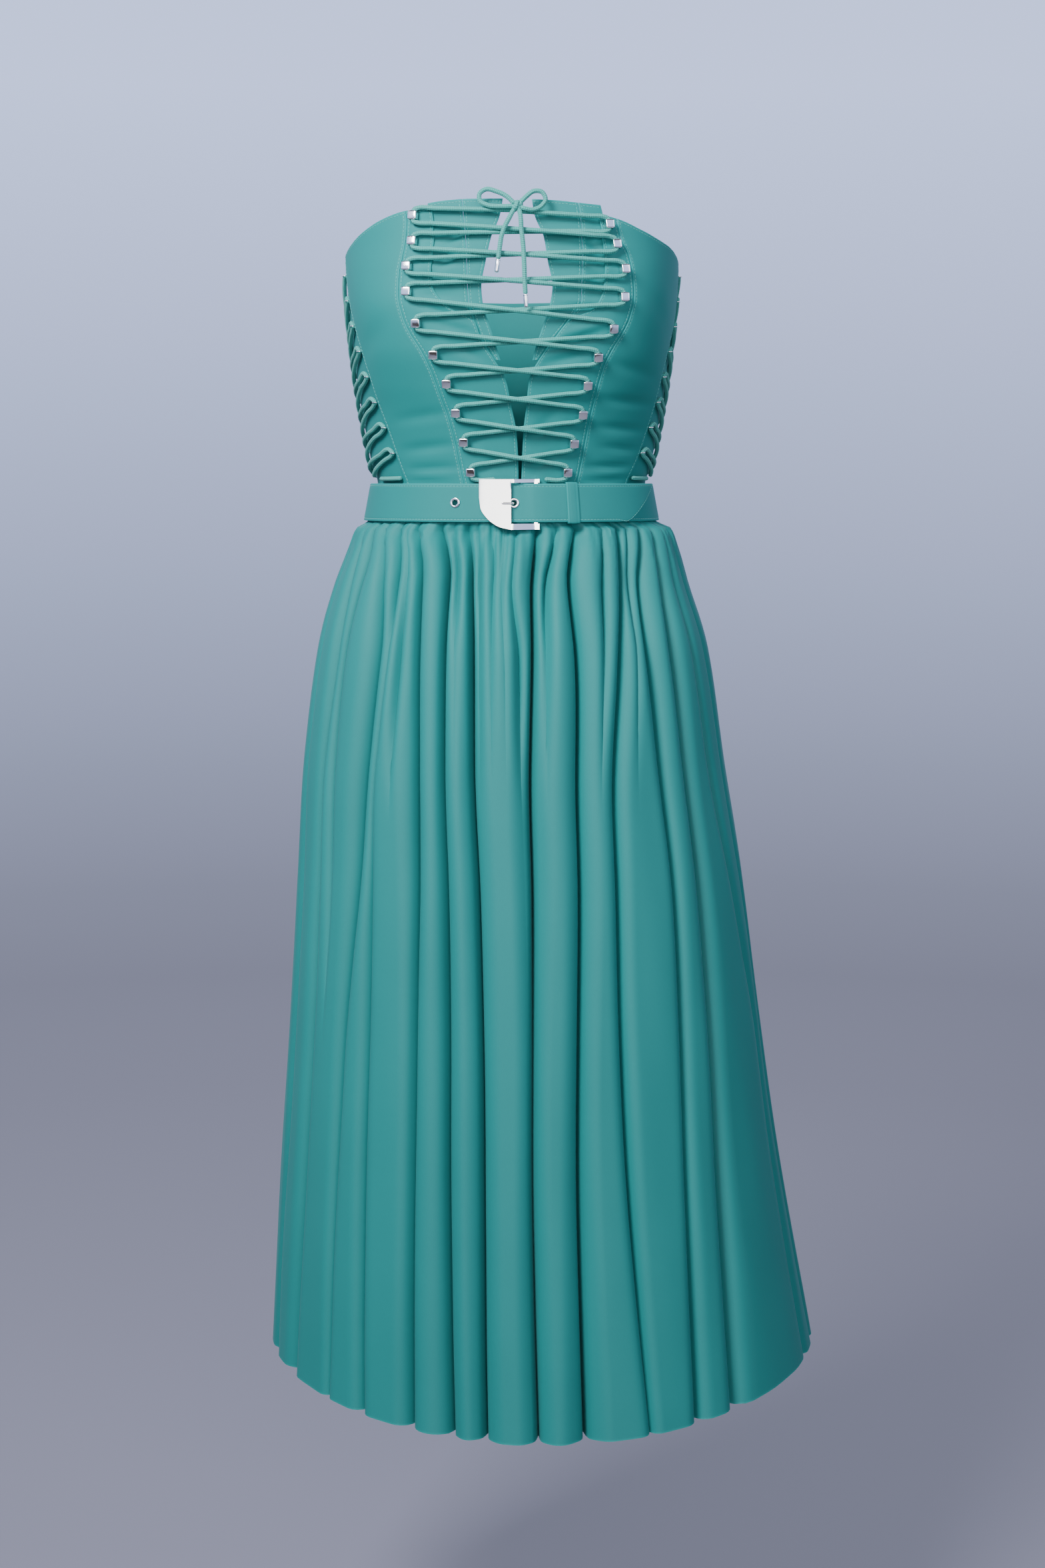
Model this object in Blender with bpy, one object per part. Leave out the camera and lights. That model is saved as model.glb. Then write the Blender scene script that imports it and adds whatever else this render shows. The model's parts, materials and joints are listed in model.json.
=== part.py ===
"""Lace-up dress: a bodice laced over a front gap and at both sides, a gathered skirt and a buckled belt.

Metres, +Z up. The front faces -Y, +X is the viewer's right, the origin is the middle of the waist.
Angles round the body are degrees from the front, positive towards +X.
"""
import math

import bmesh
import bpy
import numpy as np
from mathutils import Matrix, Vector

MM = 0.001
CLOTH = 1.3 * MM
UNDERLAP_GAP = 0.6 * MM
SKIRT_CLOTH = 1.2 * MM
SEAM = 0.3 * MM

TEAL = (0.05, 0.42, 0.36, 1.0)
CORD_TEAL = (0.06, 0.48, 0.42, 1.0)
STEEL = (0.80, 0.79, 0.78, 1.0)

# Body form under the bodice: height, half width, front depth, back depth, bust fullness (metres)
BODY = (
    (-0.016, 0.1190, 0.0890, 0.0830, 0.000),
    (0.000, 0.1155, 0.0866, 0.0803, 0.000),
    (0.018, 0.1125, 0.0850, 0.0785, 0.000),
    (0.030, 0.1162, 0.0860, 0.0790, 0.000),
    (0.048, 0.1200, 0.0880, 0.0800, 0.001),
    (0.075, 0.1245, 0.0925, 0.0825, 0.004),
    (0.100, 0.1283, 0.0970, 0.0855, 0.009),
    (0.130, 0.1316, 0.1010, 0.0890, 0.014),
    (0.160, 0.1345, 0.1020, 0.0920, 0.016),
    (0.190, 0.1362, 0.1010, 0.0935, 0.012),
    (0.215, 0.1362, 0.0985, 0.0930, 0.007),
    (0.250, 0.1330, 0.0940, 0.0910, 0.003),
)
BUST_ANGLE = 42.0
BUST_SPREAD = 24.0

# Seam angles by height: height, then left and right angle in degrees
PRINCESS_SEAM = (
    (-0.006, -18.5, 27.0),
    (0.024, -19.8, 27.9),
    (0.060, -22.0, 29.2),
    (0.090, -25.3, 30.6),
    (0.110, -27.6, 31.8),
    (0.126, -30.4, 34.2),
    (0.139, -33.5, 37.3),
    (0.152, -35.6, 39.6),
    (0.172, -37.1, 41.2),
    (0.186, -37.1, 41.0),
    (0.200, -36.4, 40.2),
    (0.213, -35.9, 38.0),
    (0.225, -36.0, 37.0),
    (0.240, -37.8, 37.3),
)
GAP_EDGE = (
    (-0.006, 3.1, 4.0),
    (0.026, 3.0, 4.1),
    (0.059, 2.2, 4.5),
    (0.083, 0.1, 5.5),
    (0.103, -1.8, 6.3),
    (0.122, -4.1, 7.8),
    (0.143, -6.8, 10.5),
    (0.163, -9.4, 13.1),
    (0.176, -9.8, 13.8),
    (0.195, -8.4, 12.3),
    (0.214, -6.6, 11.0),
    (0.232, -3.6, 7.9),
    (0.246, -2.6, 7.0),
)
BAND_SEAM = (
    (0.118, -5.4, 9.4),
    (0.134, -9.8, 14.2),
    (0.149, -12.1, 19.0),
    (0.165, -14.2, 23.3),
    (0.187, -14.6, 23.6),
    (0.205, -14.9, 24.0),
    (0.223, -15.6, 24.0),
    (0.246, -17.0, 23.0),
)
# The gathered line between the stud panel and the cup swings over to the band seam low down
GATHER_LINE = (
    (0.150, -12.6, 19.6),
    (0.160, -20.5, 27.6),
    (0.175, -25.4, 30.4),
    (0.187, -26.2, 31.0),
    (0.211, -25.8, 31.0),
    (0.246, -27.4, 29.2),
)
SIDE_FRONT_EDGE = (
    (-0.006, -48.0, 55.5),
    (0.022, -48.9, 56.6),
    (0.041, -51.0, 60.4),
    (0.062, -53.3, 63.6),
    (0.083, -56.0, 66.4),
    (0.103, -57.6, 67.6),
    (0.126, -61.2, 71.4),
    (0.143, -64.6, 77.0),
    (0.166, -71.0, 83.0),
    (0.187, -76.0, 85.0),
    (0.205, -80.0, 86.5),
)
BACK_EDGE = (
    (-0.006, -106.0, 111.0),
    (0.100, -102.0, 109.0),
    (0.150, -98.0, 107.0),
    (0.200, -94.0, 104.0),
)
# Top edge of the main panels: angle from the front, left height, right height
TOP_EDGE = (
    (25.0, 0.2382, 0.2352),
    (37.5, 0.2355, 0.2292),
    (47.0, 0.2298, 0.2216),
    (57.0, 0.2213, 0.2145),
    (68.0, 0.2119, 0.2085),
    (76.0, 0.2058, 0.2035),
    (84.0, 0.1985, 0.1985),
    (95.0, 0.1850, 0.1880),
    (106.0, 0.1750, 0.1760),
    (130.0, 0.1700, 0.1700),
    (180.0, 0.1680, 0.1680),
)
# Top edge of the cups and bands, which stand a little higher: angle, left height, right height
CUP_TOP = (
    (0.0, 0.2444, 0.2444),
    (14.0, 0.2443, 0.2434),
    (23.0, 0.2432, 0.2416),
    (31.0, 0.2406, 0.2400),
)
WAIST_SEAM = -9.2 * MM
WAIST_TILT = 3.0 * MM
WAIST_ROWS = (0.0, 0.05, 0.11, 0.16, 0.22, 0.33, 0.44, 0.54, 0.62, 0.67)
BACK_ROWS = (0.0, 0.07, 0.15, 0.22, 0.30, 0.50, 0.70, 0.85, 1.0)
CREASE_DEPTH = 1.6 * MM
CREASE_SPACING = 15.2 * MM

# Lacing studs: left angle, left height, right angle, right height, top row first
STUDS = (
    (-33.1, 0.2310, 32.9, 0.2241),
    (-32.7, 0.2109, 35.0, 0.2084),
    (-33.9, 0.1914, 37.2, 0.1892),
    (-33.6, 0.1718, 36.5, 0.1676),
    (-30.9, 0.1477, 33.4, 0.1434),
    (-26.0, 0.1234, 29.2, 0.1215),
    (-22.3, 0.1009, 26.6, 0.0996),
    (-19.8, 0.0779, 26.0, 0.0765),
    (-17.6, 0.0544, 23.7, 0.0532),
    (-15.6, 0.0301, 22.1, 0.0299),
)
STUD_SIZE = 7.4 * MM
STUD_HEIGHT = 7.0 * MM
STUD_DEPTH = 6.2 * MM
TUNNEL_WIDTH = 5.2 * MM
TUNNEL_DEPTH = 4.6 * MM
STUD_FLOOR = 0.8 * MM

CORD_RADIUS = 1.85 * MM
CORD_OUT = CLOTH + 0.7 * MM + CORD_RADIUS
CORD_LIFT = 4.5 * MM
CORD_STEP = 13.0 * MM
# Cord route beside a stud's middle: towards the front centre, up or down from it
STUD_TURN = ((0.0, 3.2 * MM), (1.2 * MM, 5.0 * MM), (3.4 * MM, 5.75 * MM))

KNOT_PLACE = (4.6 * MM, 238.0 * MM)
KNOT_OUT = 9.5 * MM
KNOT_RADII = (4.8 * MM, 4.6 * MM, 5.0 * MM)
# Bow cords in millimetres: across, up, out from the form
BOW_LOOP_LEFT = (
    (0.9, 241.7, 9.6), (-2.6, 245.0, 9.4), (-11.8, 249.5, 9.0), (-19.6, 251.0, 8.6), (-24.6, 247.4, 8.4),
    (-24.0, 241.6, 8.4), (-18.0, 238.6, 8.8), (-7.1, 237.6, 10.2), (-0.9, 237.7, 10.8),
)
BOW_LOOP_RIGHT = (
    (8.3, 241.7, 9.6), (11.8, 245.0, 9.4), (18.0, 249.5, 9.2), (24.3, 249.0, 8.8), (27.3, 243.5, 8.6),
    (23.3, 237.4, 8.8), (16.5, 235.0, 9.6), (9.9, 236.2, 10.8),
)
BOW_TAIL_LEFT = (
    (1.8, 234.2, 11.1), (-1.3, 228.4, 12.8), (-4.4, 222.6, 13.0), (-7.2, 214.8, 13.0), (-8.7, 205.7, 13.0),
    (-9.9, 196.7, 13.0),
)
BOW_TAIL_RIGHT = (
    (6.8, 233.9, 11.3), (7.8, 228.0, 13.0), (8.2, 221.0, 13.0), (9.7, 207.2, 13.0), (10.5, 192.3, 13.0),
    (10.9, 180.0, 13.0), (11.5, 169.6, 13.0),
)
AGLET_LENGTH = 10.3 * MM
AGLET_RADIUS = 1.9 * MM

GUSSET_DROP = 1.1 * MM
# Side lacing: first turn's height, spacing of the turns, drop from a front turn to the next back turn
SIDE_LACE_TOP = 0.187
SIDE_LACE_SPACING = 20.4 * MM
SIDE_LACE_DROP = 38.0 * MM
SIDE_LACE_TURNS = 8
SIDE_CORD_OUT = 1.5 * MM
SIDE_CORD_RADIUS = 1.8 * MM
SIDE_TURN_REACH = 5.0 * MM
SIDE_TURN_RISE = 2.15 * MM
# Mean radii that turn a length along the cloth into an angle: at the sides, and for seam gaps
SIDE_RADIUS = 0.105
SEAM_RADIUS = 0.11

BELT_MIDDLE = 2.5 * MM
BELT_HALF_HEIGHT = 15.2 * MM
BELT_CLOTH = 1.8 * MM
# Belt strap's inner face: angle along the strap, distance out from the form in millimetres
STRAP_LIFT = (
    (10.9, 3.3), (60.0, 3.3), (180.0, 3.3), (300.0, 3.3), (345.0, 3.3), (354.0, 3.6), (365.0, 4.4),
    (369.0, 6.0), (371.5, 6.1), (379.0, 5.7), (404.0, 6.0), (450.0, 7.0),
)
STRAP_START = 10.9
STRAP_TIP_LOW = 411.5
STRAP_TIP_HIGH = 436.0
EYELET_ANGLES = (-22.2, -9.9, 1.15)
EYELET_OUTER = 4.15 * MM
EYELET_INNER = 2.25 * MM
EYELET_HEIGHT = 5.4 * MM
KEEPER_FROM = 21.8
KEEPER_TO = 26.6

# Buckle plate: across, height of its lower curved edge (millimetres)
BUCKLE_CURVE = (
    (-25.6, 10.0), (-24.4, 1.0), (-21.0, -4.6), (-16.0, -9.6), (-9.0, -13.6), (0.0, -15.7),
)
BUCKLE_TOP = 24.4
BUCKLE_WINDOW_TOP = 21.6
BUCKLE_WINDOW_LOW = -11.1
BUCKLE_LOW = -15.7
BUCKLE_BAR = (18.6, 21.4)
BUCKLE_ARM_END = 22.8
BUCKLE_THICK = 1.8
BUCKLE_OUT = 7.6
BAR_OUT = 3.4
# Prong's middle line: across, out from the form (millimetres)
PRONG_LINE = (
    (18.2, 4.3), (8.0, 3.0), (4.2, 3.1), (2.6, 4.9), (1.8, 8.2), (0.8, 10.3), (-3.5, 10.6), (-7.5, 10.5),
)
PRONG_HALF_THICK = 0.7
PRONG_HALF_WIDTH = 1.0

# Skirt outline: height, half width, sideways shift, front depth, back depth (metres)
SKIRT = (
    (-0.7160, 0.2316, 0.0262, 0.2180, 0.2140),
    (-0.6240, 0.2206, 0.0199, 0.2050, 0.2000),
    (-0.5170, 0.2077, 0.0141, 0.1900, 0.1840),
    (-0.4110, 0.1967, 0.0106, 0.1760, 0.1700),
    (-0.3070, 0.1860, 0.0069, 0.1620, 0.1550),
    (-0.2030, 0.1740, 0.0017, 0.1460, 0.1380),
    (-0.1190, 0.1617, 0.0011, 0.1300, 0.1220),
    (-0.0680, 0.1473, 0.0000, 0.1150, 0.1050),
    (-0.0350, 0.1364, 0.0017, 0.1020, 0.0940),
    (-0.0195, 0.1300, 0.0020, 0.0916, 0.0890),
    (-0.0145, 0.1203, 0.0005, 0.0903, 0.0843),
    (-0.0095, 0.1190, 0.0000, 0.0894, 0.0831),
)
# Skirt folds at the front, left to right: valley angle at six heights, then its depth there in millimetres
FOLD_HEIGHTS = (-0.016, -0.06, -0.12, -0.25, -0.45, -0.72)
FRONT_FOLDS = (
    (-82.0, -80.0, -78.0, -77.0, -76.0, -77.0, 1.5, 3.0, 4.0, 5.0, 6.0, 7.0),
    (-72.0, -67.0, -65.0, -64.0, -63.0, -65.0, 2.0, 4.0, 4.0, 5.0, 7.0, 9.0),
    (-63.0, -60.0, -60.0, -57.5, -56.0, -57.0, 4.0, 8.0, 8.0, 5.0, 0.0, 0.0),
    (-56.0, -48.0, -44.0, -45.5, -49.0, -50.0, 3.0, 5.0, 9.0, 9.0, 5.0, 3.0),
    (-47.0, -41.5, -39.5, -40.8, -40.5, -40.0, 4.0, 7.0, 3.0, 4.0, 5.0, 6.0),
    (-42.5, -37.0, -35.5, -34.0, -33.5, -34.0, 1.0, 3.0, 5.0, 0.0, 0.0, 0.0),
    (-38.5, -32.0, -29.5, -27.0, -27.0, -28.0, 4.0, 9.0, 10.0, 9.0, 6.0, 8.0),
    (-28.0, -22.5, -21.0, -19.2, -18.5, -19.0, 5.0, 11.0, 10.0, 8.0, 8.0, 10.0),
    (-22.5, -18.5, -17.0, -15.5, -15.0, -16.0, 4.0, 5.0, 1.0, 0.0, 0.0, 0.0),
    (-17.0, -13.8, -12.2, -10.8, -10.2, -12.0, 5.0, 9.0, 11.0, 9.0, 9.0, 10.0),
    (-13.0, -10.5, -9.2, -8.0, -7.6, -9.6, 3.0, 5.0, 2.0, 0.0, 0.0, 0.0),
    (-8.2, -5.8, -5.8, -5.2, -5.0, -7.4, 3.0, 4.0, 2.0, 0.0, 0.0, 0.0),
    (-3.2, -3.0, -2.4, -1.8, -2.6, -5.2, 3.0, 3.0, 1.0, 0.0, 0.0, 0.0),
    (1.2, 0.2, 1.6, 1.4, -0.6, -3.2, 2.0, 3.0, 5.0, 0.0, 0.0, 0.0),
    (8.4, 7.0, 6.2, 4.2, 1.6, -1.2, 4.0, 11.0, 11.0, 11.0, 8.0, 10.0),
    (16.0, 12.2, 10.4, 8.8, 5.6, 2.6, 3.0, 7.0, 3.0, 0.0, 0.0, 0.0),
    (23.5, 20.0, 19.6, 17.0, 12.6, 8.6, 5.0, 10.0, 10.0, 9.0, 9.0, 13.0),
    (34.0, 31.5, 27.5, 22.5, 18.0, 15.0, 3.0, 5.0, 3.0, 0.0, 0.0, 0.0),
    (42.0, 39.5, 33.5, 27.0, 23.4, 22.0, 5.0, 8.0, 7.0, 6.0, 6.0, 4.0),
    (46.5, 43.6, 38.8, 33.5, 30.0, 27.0, 3.0, 5.0, 2.0, 0.0, 0.0, 0.0),
    (54.0, 48.5, 44.2, 43.7, 39.8, 33.0, 4.0, 8.0, 8.0, 6.0, 5.0, 7.0),
    (62.0, 58.5, 54.6, 53.7, 50.3, 43.0, 4.0, 5.0, 7.0, 7.0, 7.0, 9.0),
    (70.0, 67.0, 66.0, 68.0, 75.0, 74.0, 1.0, 2.0, 3.0, 5.0, 4.0, 3.0),
    (79.0, 78.0, 78.0, 79.0, 82.5, 84.0, 2.0, 3.0, 4.0, 4.0, 5.0, 6.0),
)
FOLD_REACH = 3.5 * MM
SWELL = 1.5 * MM
CENTRE_FOLD = 15
PLACKET_END = -0.172
HEM_DIP = 19.0 * MM
SKIRT_LEVELS = (-0.0095, -0.0145, -0.0195, -0.0360, -0.0680, -0.1200, -0.2200, -0.4600, -0.7160)
FOLD_STEPS = (0.0, 0.2, 0.5, 0.8)


def clear_scene():
    for item in list(bpy.data.objects):
        bpy.data.objects.remove(item, do_unlink=True)


def read(table, column, where):
    """One column of a table at the places asked for, on a smooth curve with no overshoot."""
    rows = np.array(table, dtype=float)
    rows = rows[np.argsort(rows[:, 0])]
    place, value = rows[:, 0], rows[:, column]
    secant = np.diff(value) / np.diff(place)
    before, after = secant[:-1], secant[1:]
    same_way = before * after > 0
    middle = np.where(same_way, 2 * before * after / np.where(same_way, before + after, 1.0), 0.0)
    slope = np.concatenate([secant[:1], middle, secant[-1:]])
    where = np.clip(np.asarray(where, dtype=float), place[0], place[-1])
    index = np.clip(np.searchsorted(place, where, side="right") - 1, 0, len(place) - 2)
    span = place[index + 1] - place[index]
    t = (where - place[index]) / span
    start = (2 * t**3 - 3 * t**2 + 1) * value[index] + (t**3 - 2 * t**2 + t) * span * slope[index]
    end = (3 * t**2 - 2 * t**3) * value[index + 1] + (t**3 - t**2) * span * slope[index + 1]
    return start + end


def body(angle, height, out):
    """Point on the body form at an angle and height, moved out along its level normal."""
    angle, height, out = np.broadcast_arrays(*(np.asarray(v, dtype=float) for v in (angle, height, out)))
    turn = np.radians(angle)
    across, toward = np.sin(turn), np.cos(turn)
    half_width = read(BODY, 1, height)
    depth = np.where(toward >= 0, read(BODY, 2, height), read(BODY, 3, height))
    from_front = np.abs(np.degrees(np.arctan2(across, toward)))
    bust = read(BODY, 4, height) * np.exp(-((from_front - BUST_ANGLE) / BUST_SPREAD) ** 2)
    normal = np.stack([across / half_width, -toward / depth], axis=-1)
    normal /= np.linalg.norm(normal, axis=-1, keepdims=True)
    reach = (out + bust)[..., None]
    level = np.stack([half_width * across, -depth * toward], axis=-1) + normal * reach
    return np.concatenate([level, height[..., None]], axis=-1)


def body_across(x, height, out):
    """Point on the front of the body form at a sideways place."""
    low = np.full(np.shape(x), -90.0)
    high = np.full(np.shape(x), 90.0)
    for _ in range(30):
        middle = (low + high) / 2
        left = body(middle, height, out)[..., 0] < x
        low = np.where(left, middle, low)
        high = np.where(left, high, middle)
    return body((low + high) / 2, height, out)


def tilt(angle):
    return WAIST_TILT * np.cos(np.radians(angle))


def seam_angle(table, side, height):
    return read(table, 1 if side < 0 else 2, height)


def top_height(table, side, angle):
    return read(table, 1 if side < 0 else 2, np.abs(angle))


def material(name, color, roughness, metallic):
    made = bpy.data.materials.new(name)
    made.use_nodes = True
    shader = made.node_tree.nodes["Principled BSDF"]
    shader.inputs["Base Color"].default_value = color
    shader.inputs["Roughness"].default_value = roughness
    shader.inputs["Metallic"].default_value = metallic
    made.diffuse_color = color
    return made


FINISHES = {
    "cloth": (TEAL, 0.75, 0.0),
    "cord": (CORD_TEAL, 0.80, 0.0),
    "metal": (STEEL, 0.18, 1.0),
}


def add_solid(name, points, faces, finish, smooth_angle=35.0):
    """A closed body from points and faces, faces turned out."""
    mesh = bpy.data.meshes.new(name)
    mesh.from_pydata([tuple(map(float, point)) for point in points], [], faces)
    shape = bmesh.new()
    shape.from_mesh(mesh)
    bmesh.ops.recalc_face_normals(shape, faces=shape.faces)
    shape.to_mesh(mesh)
    shape.free()
    mesh.materials.append(material(name + "_finish", *FINISHES[finish]))
    mesh.shade_smooth()
    mesh.set_sharp_from_angle(angle=math.radians(smooth_angle))
    item = bpy.data.objects.new(name, mesh)
    bpy.context.collection.objects.link(item)
    return item


def add_wall(name, outer, inner, finish, filled=None):
    """A closed wall between two grids of points, over the cells that are filled."""
    rows, columns = outer.shape[:2]
    if filled is None:
        filled = np.ones((rows - 1, columns - 1), dtype=bool)
    padded = np.pad(filled, 1)
    back = rows * columns
    faces = []
    for row in range(rows - 1):
        for column in range(columns - 1):
            if not filled[row, column]:
                continue
            a = row * columns + column
            b, c, d = a + 1, a + columns + 1, a + columns
            faces += [(a, b, c), (a, c, d), (back + c, back + b, back + a), (back + d, back + c, back + a)]
            sides = (
                (padded[row, column + 1], a, b),
                (padded[row + 2, column + 1], c, d),
                (padded[row + 1, column], d, a),
                (padded[row + 1, column + 2], b, c),
            )
            faces += [(back + p, back + q, q, p) for neighbour, p, q in sides if not neighbour]
    points = np.concatenate([outer.reshape(-1, 3), inner.reshape(-1, 3)])
    used = sorted({index for face in faces for index in face})
    renumber = {index: place for place, index in enumerate(used)}
    faces = [tuple(renumber[index] for index in face) for face in faces]
    return add_solid(name, points[used], faces, finish)


def add_tube(name, points, radius, finish, sides):
    """A closed round tube along a line of points, its rings turned with the line."""
    line = [Vector(tuple(map(float, point))) for point in points]
    along = [(line[min(i + 1, len(line) - 1)] - line[max(i - 1, 0)]).normalized() for i in range(len(line))]
    side = along[0].orthogonal().normalized()
    rings = []
    for i, place in enumerate(line):
        side = (side - along[i] * side.dot(along[i])).normalized()
        up = along[i].cross(side)
        turns = [2 * math.pi * k / sides for k in range(sides)]
        rings += [place + radius * (math.cos(turn) * side + math.sin(turn) * up) for turn in turns]
    faces = [tuple(range(sides - 1, -1, -1))]
    for i in range(len(line) - 1):
        for k in range(sides):
            first, second = i * sides + k, i * sides + (k + 1) % sides
            faces.append((first, second, second + sides, first + sides))
    last = (len(line) - 1) * sides
    faces.append(tuple(range(last, last + sides)))
    return add_solid(name, rings, faces, finish, smooth_angle=80.0)


def panel_grid(side, first, second, top, bottom, columns, rows):
    """Angles and heights over a panel between two seams, a seam's gap in from each."""
    share = row_shares(rows, bottom is waist_line)[:, None]
    edges = []
    for seam, inward in ((first, 1), (second, -1)):
        guess = seam_angle(seam, side, 0.2)
        low = bottom(guess)
        height = low + share * (top(guess) - low)
        for _ in range(6):
            angle = seam_angle(seam, side, height)
            low = bottom(angle)
            height = low + share * (top(angle) - low)
        edges.append((angle + side * inward * np.degrees(SEAM / 2 / SEAM_RADIUS), height))
    across = np.linspace(0.0, 1.0, columns)[None, :]
    angle = edges[0][0] * (1 - across) + edges[1][0] * across
    height = edges[0][1] * (1 - across) + edges[1][1] * across
    straight_top = height[-1]
    height = height + share * (top(angle[-1]) - straight_top)[None, :]
    straight_low = height[0]
    height = height + (1 - share) * (bottom(angle[0]) - straight_low)[None, :]
    return angle, height


def row_shares(rows, from_waist):
    """Rows up a panel as shares of its height; from the waist they close up where the waist draws in."""
    if not from_waist:
        return np.linspace(0.0, 1.0, rows)
    return np.concatenate([WAIST_ROWS, np.linspace(WAIST_ROWS[-1], 1.0, rows - len(WAIST_ROWS) + 1)[1:]])


def crease(side, angle, height):
    """Inward creases that fan from the gathered line and die out over the stud panel."""
    line = seam_angle(GATHER_LINE, side, height)
    near = np.exp(-np.clip(np.abs(angle - line) - 2.5, 0, None) / 4.5)
    rows = np.clip((height - 0.160) / 0.012, 0, 1) * np.clip((0.236 - height) / 0.01, 0, 1)
    wave = 0.5 - 0.5 * np.cos(2 * math.pi * (height - 0.160) / CREASE_SPACING)
    return -CREASE_DEPTH * near * rows * wave


def add_panel(name, side, first, second, top, bottom, columns, rows, inner=0.0, outer=CLOTH, creased=False):
    angle, height = panel_grid(side, first, second, top, bottom, columns, rows)
    moved = crease(side, angle, height) if creased else 0.0
    return add_wall(name, body(angle, height, outer + moved), body(angle, height, inner + moved), "cloth")


def waist_line(angle):
    return WAIST_SEAM + tilt(angle)


def make_front(side, label):
    def cup_top(angle):
        return top_height(CUP_TOP, side, angle)

    def main_top(angle):
        return top_height(TOP_EDGE, side, angle)

    def band_foot(angle):
        return np.zeros(np.shape(angle)) + BAND_SEAM[0][0] + SEAM

    def cup_foot(angle):
        return np.zeros(np.shape(angle)) + GATHER_LINE[0][0] + SEAM

    inner_edge = joined_inner_edge(side)
    under = moved_seam(GATHER_LINE, 2.0)
    seam_in, seam_out = moved_seam(BAND_SEAM, -0.15), moved_seam(BAND_SEAM, 0.15)
    behind = {"inner": -UNDERLAP_GAP - CLOTH, "outer": -UNDERLAP_GAP}
    add_panel(f"front_band_{label}", side, GAP_EDGE, seam_in, cup_top, band_foot, 3, 8, **behind)
    add_panel(f"front_cup_{label}", side, seam_out, under, cup_top, cup_foot, 4, 22, creased=True, **behind)
    add_panel(f"stud_panel_{label}", side, inner_edge, PRINCESS_SEAM, main_top, waist_line, 4, 27, creased=True)
    add_panel(f"side_front_{label}", side, PRINCESS_SEAM, SIDE_FRONT_EDGE, main_top, waist_line, 5, 19)


def moved_seam(table, degrees):
    """A seam moved away from the front centre on both sides."""
    return tuple((row[0], row[1] - degrees, row[2] + degrees) for row in table)


def joined_inner_edge(side):
    """The stud panel's inner edge: gap edge low down, band seam above it, then the gathered line."""
    low = [row for row in GAP_EDGE if row[0] < BAND_SEAM[0][0]]
    middle = [row for row in BAND_SEAM if row[0] < GATHER_LINE[0][0]]
    return tuple(low + middle + list(GATHER_LINE))


def make_side(side, label):
    def gusset_top(angle):
        return top_height(TOP_EDGE, side, angle) - 0.5 * MM

    front, back = moved_seam(SIDE_FRONT_EDGE, -3.0), moved_seam(BACK_EDGE, 3.0)
    inner, outer = -GUSSET_DROP - CLOTH, -GUSSET_DROP
    add_panel(f"side_gusset_{label}", side, front, back, gusset_top, waist_line, 8, 14, inner, outer)


def make_back():
    """Back panel from one side gap round to the other."""
    share = np.array(BACK_ROWS)[:, None]
    across = np.linspace(0.0, 1.0, 15)[None, :]
    height = WAIST_SEAM + share * (0.17 - WAIST_SEAM)
    first = seam_angle(BACK_EDGE, 1, height)
    last = 360.0 + seam_angle(BACK_EDGE, -1, height)
    angle = first * (1 - across) + last * across
    side_angle = np.where(angle > 180, 360 - angle, angle)
    top = np.where(angle > 180, read(TOP_EDGE, 1, side_angle), read(TOP_EDGE, 2, side_angle))
    low = waist_line(angle)
    height = low + share * (top - low)
    add_wall("back_panel", body(angle, height, CLOTH), body(angle, height, 0.0), "cloth")


def stud_frame(row, side):
    """Middle of a stud's seat with its across, up and out directions; across points to the front centre."""
    angle, height = (STUDS[row][0], STUDS[row][1]) if side < 0 else (STUDS[row][2], STUDS[row][3])
    seat = body(angle, height, CLOTH + SEAM)
    across = Vector(tuple(body(angle + 1, height, CLOTH) - body(angle - 1, height, CLOTH))).normalized()
    up = Vector(tuple(body(angle, height + 0.003, CLOTH) - body(angle, height - 0.003, CLOTH))).normalized()
    out = across.cross(up).normalized()
    up = out.cross(across)
    return Vector(tuple(seat)), across * -side, up, out


def stud_place(frame, across, up, out):
    seat, across_way, up_way, out_way = frame
    return seat + across_way * across + up_way * up + out_way * out


def make_stud(row, side, label):
    """A square metal bridge with a tunnel from top to bottom for the lace."""
    frame = stud_frame(row, side)
    half, hole = STUD_SIZE / 2, TUNNEL_WIDTH / 2
    roof = STUD_FLOOR + TUNNEL_DEPTH
    ring_out = ((-half, 0.0), (half, 0.0), (half, STUD_DEPTH), (-half, STUD_DEPTH))
    ring_in = ((-hole, STUD_FLOOR), (hole, STUD_FLOOR), (hole, roof), (-hole, roof))
    points = []
    for up in (-STUD_HEIGHT / 2, STUD_HEIGHT / 2):
        points += [stud_place(frame, across, up, out) for across, out in ring_out + ring_in]
    faces = []
    for k in range(4):
        n = (k + 1) % 4
        faces.append((k, n, 8 + n, 8 + k))
        faces.append((4 + k, 12 + k, 12 + n, 4 + n))
        faces.append((k, 4 + k, 4 + n, n))
        faces.append((8 + k, 8 + n, 12 + n, 12 + k))
    add_solid(f"stud_{label}_{row + 1:02d}", points, faces, "metal")


def stud_pass(row, side, downward):
    """Cord points through a stud: in at one end of its tunnel and out at the other."""
    frame = stud_frame(row, side)
    middle = STUD_FLOOR + TUNNEL_DEPTH / 2
    above = [stud_place(frame, across, up, middle) for across, up in reversed(STUD_TURN)]
    below = [stud_place(frame, across, -up, middle) for across, up in STUD_TURN]
    through = above + below
    return through if downward else through[::-1]


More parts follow.
